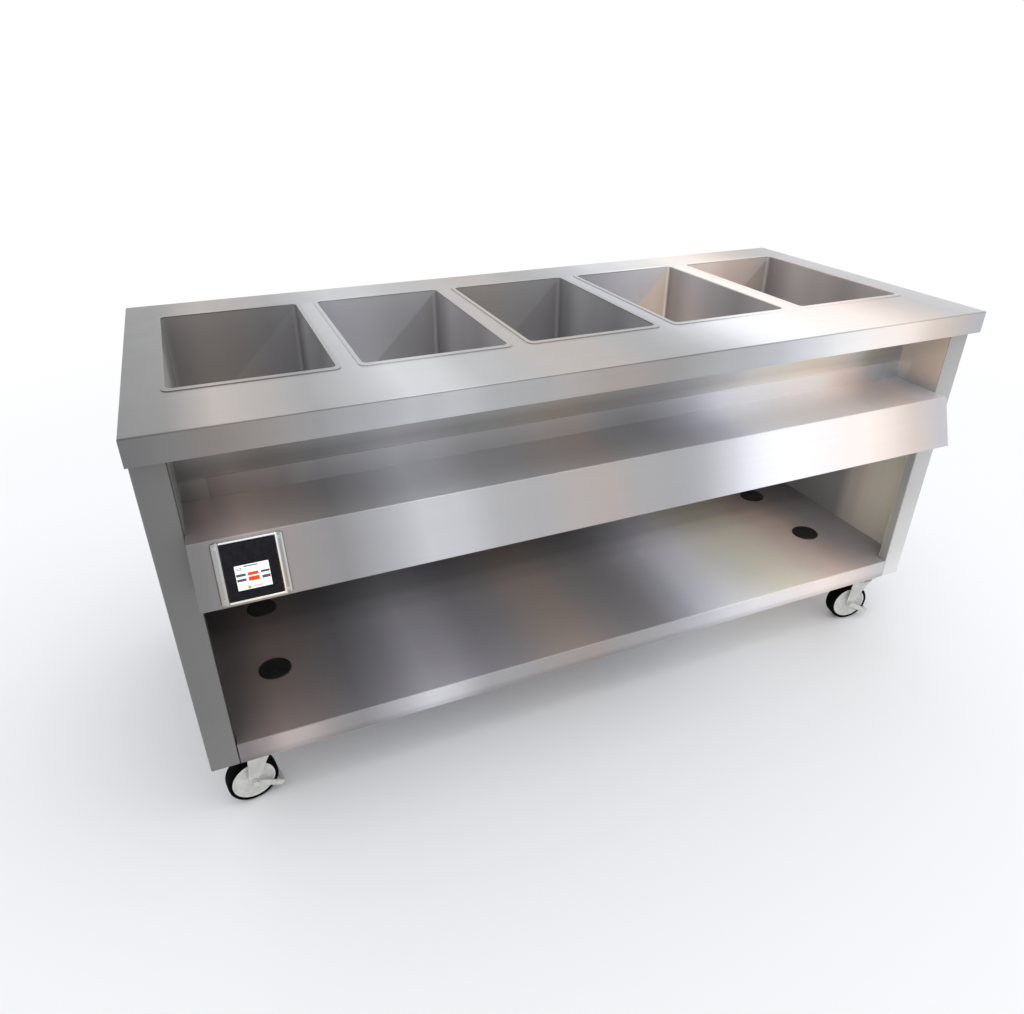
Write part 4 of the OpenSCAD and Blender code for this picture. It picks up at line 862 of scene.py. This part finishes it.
def plug_shape(shape):
    low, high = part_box("deck_plugs")
    middle_y = (low.y + high.y) / 2
    for x in (low.x + PLUG_R, high.x - PLUG_R):
        for y in (middle_y - PLUG_SPACING / 2, middle_y + PLUG_SPACING / 2):
            start = len(shape.verts)
            lathe(shape, PLUG_PROFILE)
            shape.verts.ensure_lookup_table()
            bmesh.ops.translate(shape, verts=shape.verts[start:], vec=(x, y, 0))


def shape_plugs():
    deck_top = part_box("bottom_shelf")[1].z
    place = Matrix.Translation((0, 0, deck_top))
    make_piece("deck_plugs_moulded", plug_shape, place, "cabinet", "black_plastic", ["deck_plugs"])


# Control on the sloping fascia, whose outer face's head and foot are given in metres as (y, z).
# In the control's frame X runs along the table, Y up the slope and Z out of it
FASCIA_HEAD, FASCIA_FOOT = (-0.38618, 0.710), (-0.43018, 0.594)
BEZEL_W, BEZEL_H, BEZEL_RISE, BEZEL_CORNER = 123.0, 113.0, 6.0, 6.0
PANEL_W, PANEL_H, PANEL_T, PANEL_GAP, PANEL_CORNER = 93.0, 102.0, 3.0, 0.3, 1.2
DISPLAY_W, DISPLAY_H, DISPLAY_DROP, DISPLAY_CORNER = 58.0, 44.5, 12.5, 0.8
SCREEN_SMALLER, MARK_CORNER = 0.1, 0.6
BEAD, BAR = (BEZEL_W - PANEL_W) / 2, (BEZEL_H - PANEL_H) / 2
BAR_RISE, BAR_TUCK = 0.8 * BEZEL_RISE, 2.0
BEAD_ENDS = [0.0, 0.3, 0.7, 1.3, 2.1, 3.2, 4.6, BEZEL_CORNER]
BEAD_END_SOFT, BEAD_END_SHARE = 1.8, 0.82
SCREW_INSET = 9.0
SCREW_RINGS = [(2.95, 4.2), (3.0, 5.6), (2.75, 6.1), (2.2, 6.35)]
CROSS_HALF, CROSS_REACH = 0.45, 1.7
CROSS_RINGS = [(1.0, 6.45), (0.9, 5.4)]
GLASS_EDGE = [(0, 0.1), (0, 2.5), (0.15, 2.85), (0.5, PANEL_T)]
WINDOW_EDGE = [(0.25, PANEL_T), (0.0, 2.8), (0.0, 0.1)]
SCREEN_EDGE = [(0, 0.2), (0, 2.5), (0.25, 2.7)]
MARK_EDGE = [(0, 2.6), (0, 2.74), (0.1, 2.78)]


def fascia_frame():
    (y1, z1), (y2, z2) = FASCIA_HEAD, FASCIA_FOOT
    low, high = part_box("control_bezel")
    middle = Matrix.Translation(((low.x + high.x) / 2, (y1 + y2) / 2, (z1 + z2) / 2))
    return middle @ Matrix.Rotation(math.radians(90) - math.atan2(y1 - y2, z1 - z2), 4, "X")


def bead_shape(shape):
    """Two upright beads with rounded outer corners and soft ends."""
    half = BEZEL_H / 2
    stops = [half - d for d in BEAD_ENDS]
    for side in (-1, 1):
        loops = []
        for y in [-stop for stop in stops] + stops[::-1]:
            past = max(0.0, abs(y) - (half - BEZEL_CORNER))
            width = BEAD - (BEZEL_CORNER - math.sqrt(BEZEL_CORNER ** 2 - past ** 2))
            near_end = min(1.0, (half - abs(y)) / BEAD_END_SOFT)
            fall = BEAD_END_SHARE + (1 - BEAD_END_SHARE) * math.sqrt(1 - (1 - near_end) ** 2)
            middle = PANEL_W / 2 + width / 2
            oval = half_oval(width, BEZEL_RISE * (width / BEAD) ** 0.35)
            loops.append([(side * (middle + x), y, z * fall) for x, z in oval])
        loft(shape, loops)


def bar_shape(shape):
    """Two level bars above and below the panel, tucked into the beads."""
    reach = PANEL_W / 2 + BAR_TUCK
    for side in (-1, 1):
        middle = side * (BEZEL_H - BAR) / 2
        loft(shape, [[(x, middle + y, z) for y, z in half_oval(BAR, BAR_RISE, 10)] for x in (-reach, reach)])


def cross_outline():
    near, far = CROSS_HALF, CROSS_REACH
    return [(near, near), (near, far), (-near, far), (-near, near), (-far, near), (-far, -near),
            (-near, -near), (-near, -far), (near, -far), (near, -near), (far, -near), (far, near)]


def screw_shape(shape):
    """Four raised heads with a cross recess."""
    cross = cross_outline()
    turns = [math.atan2(y, x) for x, y in cross]
    for sx in (-1, 1):
        for sy in (-1, 1):
            cx, cy = sx * (PANEL_W + BEAD) / 2, sy * (BEZEL_H / 2 - SCREW_INSET)
            head = [[(cx + r * math.cos(t), cy + r * math.sin(t), z) for t in turns] for r, z in SCREW_RINGS]
            recess = [[(cx + k * x, cy + k * y, z) for x, y in cross] for k, z in CROSS_RINGS]
            loft(shape, head + recess)


def glass_shape(shape):
    """Flat panel with a softened rim and a window for the display."""
    w, h = PANEL_W - 2 * PANEL_GAP, PANEL_H - 2 * PANEL_GAP
    outer = [raised(round_outline(w - 2 * d, h - 2 * d, PANEL_CORNER), z) for d, z in GLASS_EDGE]
    w, h = DISPLAY_W, DISPLAY_H
    window = [raised(round_outline(w + 2 * d, h + 2 * d, DISPLAY_CORNER + d, 0, -DISPLAY_DROP), z)
              for d, z in WINDOW_EDGE]
    loft(shape, outer + window + [outer[0]], closed=False)


def screen_shape(shape):
    w, h = DISPLAY_W - SCREEN_SMALLER, DISPLAY_H - SCREEN_SMALLER
    loft(shape, [raised(round_outline(w - 2 * d, h - 2 * d, DISPLAY_CORNER, 0, -DISPLAY_DROP), z)
                 for d, z in SCREEN_EDGE])


# Marks shown on the display: finish, then boxes as shares of its width and height from the top left
DISPLAY_MARKS = {
    "display_red_tiles": (RED_TILE, [(0.35, 0.33, 0.66, 0.46), (0.35, 0.51, 0.67, 0.68)]),
    "display_grey_bars": (GREY_BAR, [(0.015, 0.34, 0.29, 0.45), (0.02, 0.54, 0.29, 0.65),
                                     (0.73, 0.345, 0.985, 0.435), (0.745, 0.545, 0.985, 0.67)]),
    "display_top_line": (PALE_LINE, [(0.27, 0.04, 0.68, 0.095), (0.06, 0.10, 0.20, 0.125),
                                     (0.06, 0.175, 0.20, 0.20), (0.06, 0.10, 0.085, 0.20),
                                     (0.175, 0.10, 0.20, 0.20)]),
    "display_foot_line": (PINK_LINE, [(0.44, 0.875, 0.72, 0.93)]),
}
DOT_SHARES, DOT_R = (0.336, 0.915), 3.0


def on_display(share_x, share_y):
    """The place of a point given as shares of the display's width and height from its top left."""
    return (share_x - 0.5) * DISPLAY_W, (0.5 - share_y) * DISPLAY_H - DISPLAY_DROP


def marks_shape(boxes):
    def build(shape):
        for left, top, right, foot in boxes:
            w, h = (right - left) * DISPLAY_W, (foot - top) * DISPLAY_H
            cx, cy = on_display((left + right) / 2, (top + foot) / 2)
            r = min(MARK_CORNER, 0.45 * min(w, h))
            loft(shape, [raised(round_outline(w - d, h - d, r, cx, cy, 3), z) for d, z in MARK_EDGE])
    return build


def dot_shape(shape):
    loft(shape, [raised(ring(DOT_R - d, 24, *on_display(*DOT_SHARES)), z) for d, z in MARK_EDGE])


def shape_control():
    place = fascia_frame()
    make_piece("bezel_beads", bead_shape, place, "cabinet", "bezel_chrome", ["control_bezel"], sharp=50)
    make_piece("bezel_bars", bar_shape, place, "cabinet", "bezel_chrome", sharp=50)
    make_piece("bezel_screw_heads", screw_shape, place, "cabinet", "screw_steel", ["bezel_screws"])
    make_piece("control_glass", glass_shape, place, "cabinet", "gloss_black", ["control_panel"], sharp=60)
    make_piece("display_glass", screen_shape, place, "cabinet", "display", ["display_screen"])
    for name, (finish, boxes) in DISPLAY_MARKS.items():
        make_piece(name, marks_shape(boxes), place, "cabinet", "display", finish=finish)
    make_piece("display_olive_dot", dot_shape, place, "cabinet", "display", finish=OLIVE_DOT)


shape_casters()
shape_plugs()
shape_control()

# Studio, in metres: pale floor, white surroundings, one soft lamp, and the camera
FLOOR_REACH, FLOOR_SQUARES = 30.0, 8
FLOOR_SHADED_TO, FLOOR_WHITE_FROM = 1.6, 3.6
FLOOR_COLOR, SKY_COLOR = (0.93, 0.935, 0.95, 1), (0.975, 0.985, 1.0, 1)


def seen_directly(tree):
    """1 for rays from the camera, and for those off or through the object."""
    seen = add(tree, "ShaderNodeLightPath").outputs
    mirrored = calc(tree, "MAXIMUM", seen["Is Camera Ray"], seen["Is Glossy Ray"])
    return calc(tree, "MAXIMUM", mirrored, seen["Is Transmission Ray"])


def white_surroundings():
    world = bpy.data.worlds.new("white studio")
    bpy.context.scene.world = world
    tree = empty_tree(world)
    lit = add(tree, "ShaderNodeBackground", {"Color": SKY_COLOR, "Strength": 1.0})
    shown = add(tree, "ShaderNodeBackground", {"Color": WHITE, "Strength": 1.0})
    mixed = add(tree, "ShaderNodeMixShader", {0: seen_directly(tree), 1: lit.outputs[0], 2: shown.outputs[0]})
    add(tree, "ShaderNodeOutputWorld", {"Surface": mixed.outputs[0]})


def floor_finish():
    """Matt near the table, where its shadow falls, and plain white further off."""
    finish = bpy.data.materials.new("pale floor")
    tree = empty_tree(finish)
    distance = add(tree, "ShaderNodeVectorMath", {0: object_place(tree)}, operation="LENGTH").outputs["Value"]
    away = stretch(tree, distance, FLOOR_SHADED_TO, FLOOR_WHITE_FROM, how="SMOOTHSTEP")
    matt = add(tree, "ShaderNodeBsdfDiffuse", {"Color": FLOOR_COLOR})
    white = add(tree, "ShaderNodeEmission", {"Color": WHITE, "Strength": 1.0})
    whitened = times(tree, away, seen_directly(tree))
    mixed = add(tree, "ShaderNodeMixShader", {0: whitened, 1: matt.outputs[0], 2: white.outputs[0]})
    add(tree, "ShaderNodeOutputMaterial", {"Surface": mixed.outputs[0]})
    return finish


def pale_floor():
    mesh = bpy.data.meshes.new("studio_floor")
    shape = bmesh.new()
    bmesh.ops.create_grid(shape, x_segments=FLOOR_SQUARES, y_segments=FLOOR_SQUARES, size=FLOOR_REACH)
    shape.to_mesh(mesh)
    shape.free()
    floor = bpy.data.objects.new("studio_floor", mesh)
    bpy.context.scene.collection.objects.link(floor)
    mesh.materials.append(floor_finish())


LAMP_PLACE, LAMP_AIM, LAMP_SIZE, LAMP_POWER = (0.4, -0.6, 3.4), (0, 0, 0.6), 2.4, 18


def soft_lamp():
    lamp = bpy.data.lights.new("overhead_softbox", "AREA")
    lamp.shape, lamp.size, lamp.energy = "DISK", LAMP_SIZE, LAMP_POWER
    lantern = bpy.data.objects.new("overhead_softbox", lamp)
    bpy.context.scene.collection.objects.link(lantern)
    lantern.location = LAMP_PLACE
    lantern.rotation_euler = (Vector(LAMP_AIM) - Vector(LAMP_PLACE)).to_track_quat("-Z", "Y").to_euler()


CAMERA_PLACE = (-0.79375, -1.59889, 1.4073)
CAMERA_RIGHT = (0.922463487, -0.386083968, 0.000533630)
CAMERA_DOWN = (-0.190039970, -0.455261345, -0.869840168)
CAMERA_AHEAD = (0.336074285, 0.802294383, -0.493333353)
FOCAL_PIXELS, PICTURE_WIDTH = 762.73, 1024
SENSOR = 36.0
SHIFT = (0.00205, -0.00322)
SEEN_FROM, SEEN_TO = 0.05, 100


def photo_camera():
    data = bpy.data.cameras.new("photo_camera")
    data.sensor_fit, data.sensor_width = "HORIZONTAL", SENSOR
    data.lens = FOCAL_PIXELS / PICTURE_WIDTH * SENSOR
    data.shift_x, data.shift_y = SHIFT
    data.clip_start, data.clip_end = SEEN_FROM, SEEN_TO
    camera = bpy.data.objects.new("photo_camera", data)
    turn = Matrix((CAMERA_RIGHT, [-v for v in CAMERA_DOWN], [-v for v in CAMERA_AHEAD])).transposed()
    camera.matrix_world = Matrix.Translation(CAMERA_PLACE) @ turn.to_4x4()
    bpy.context.scene.collection.objects.link(camera)
    bpy.context.scene.camera = camera


white_surroundings()
pale_floor()
soft_lamp()
photo_camera()
bpy.context.scene.view_settings.view_transform = "Standard"
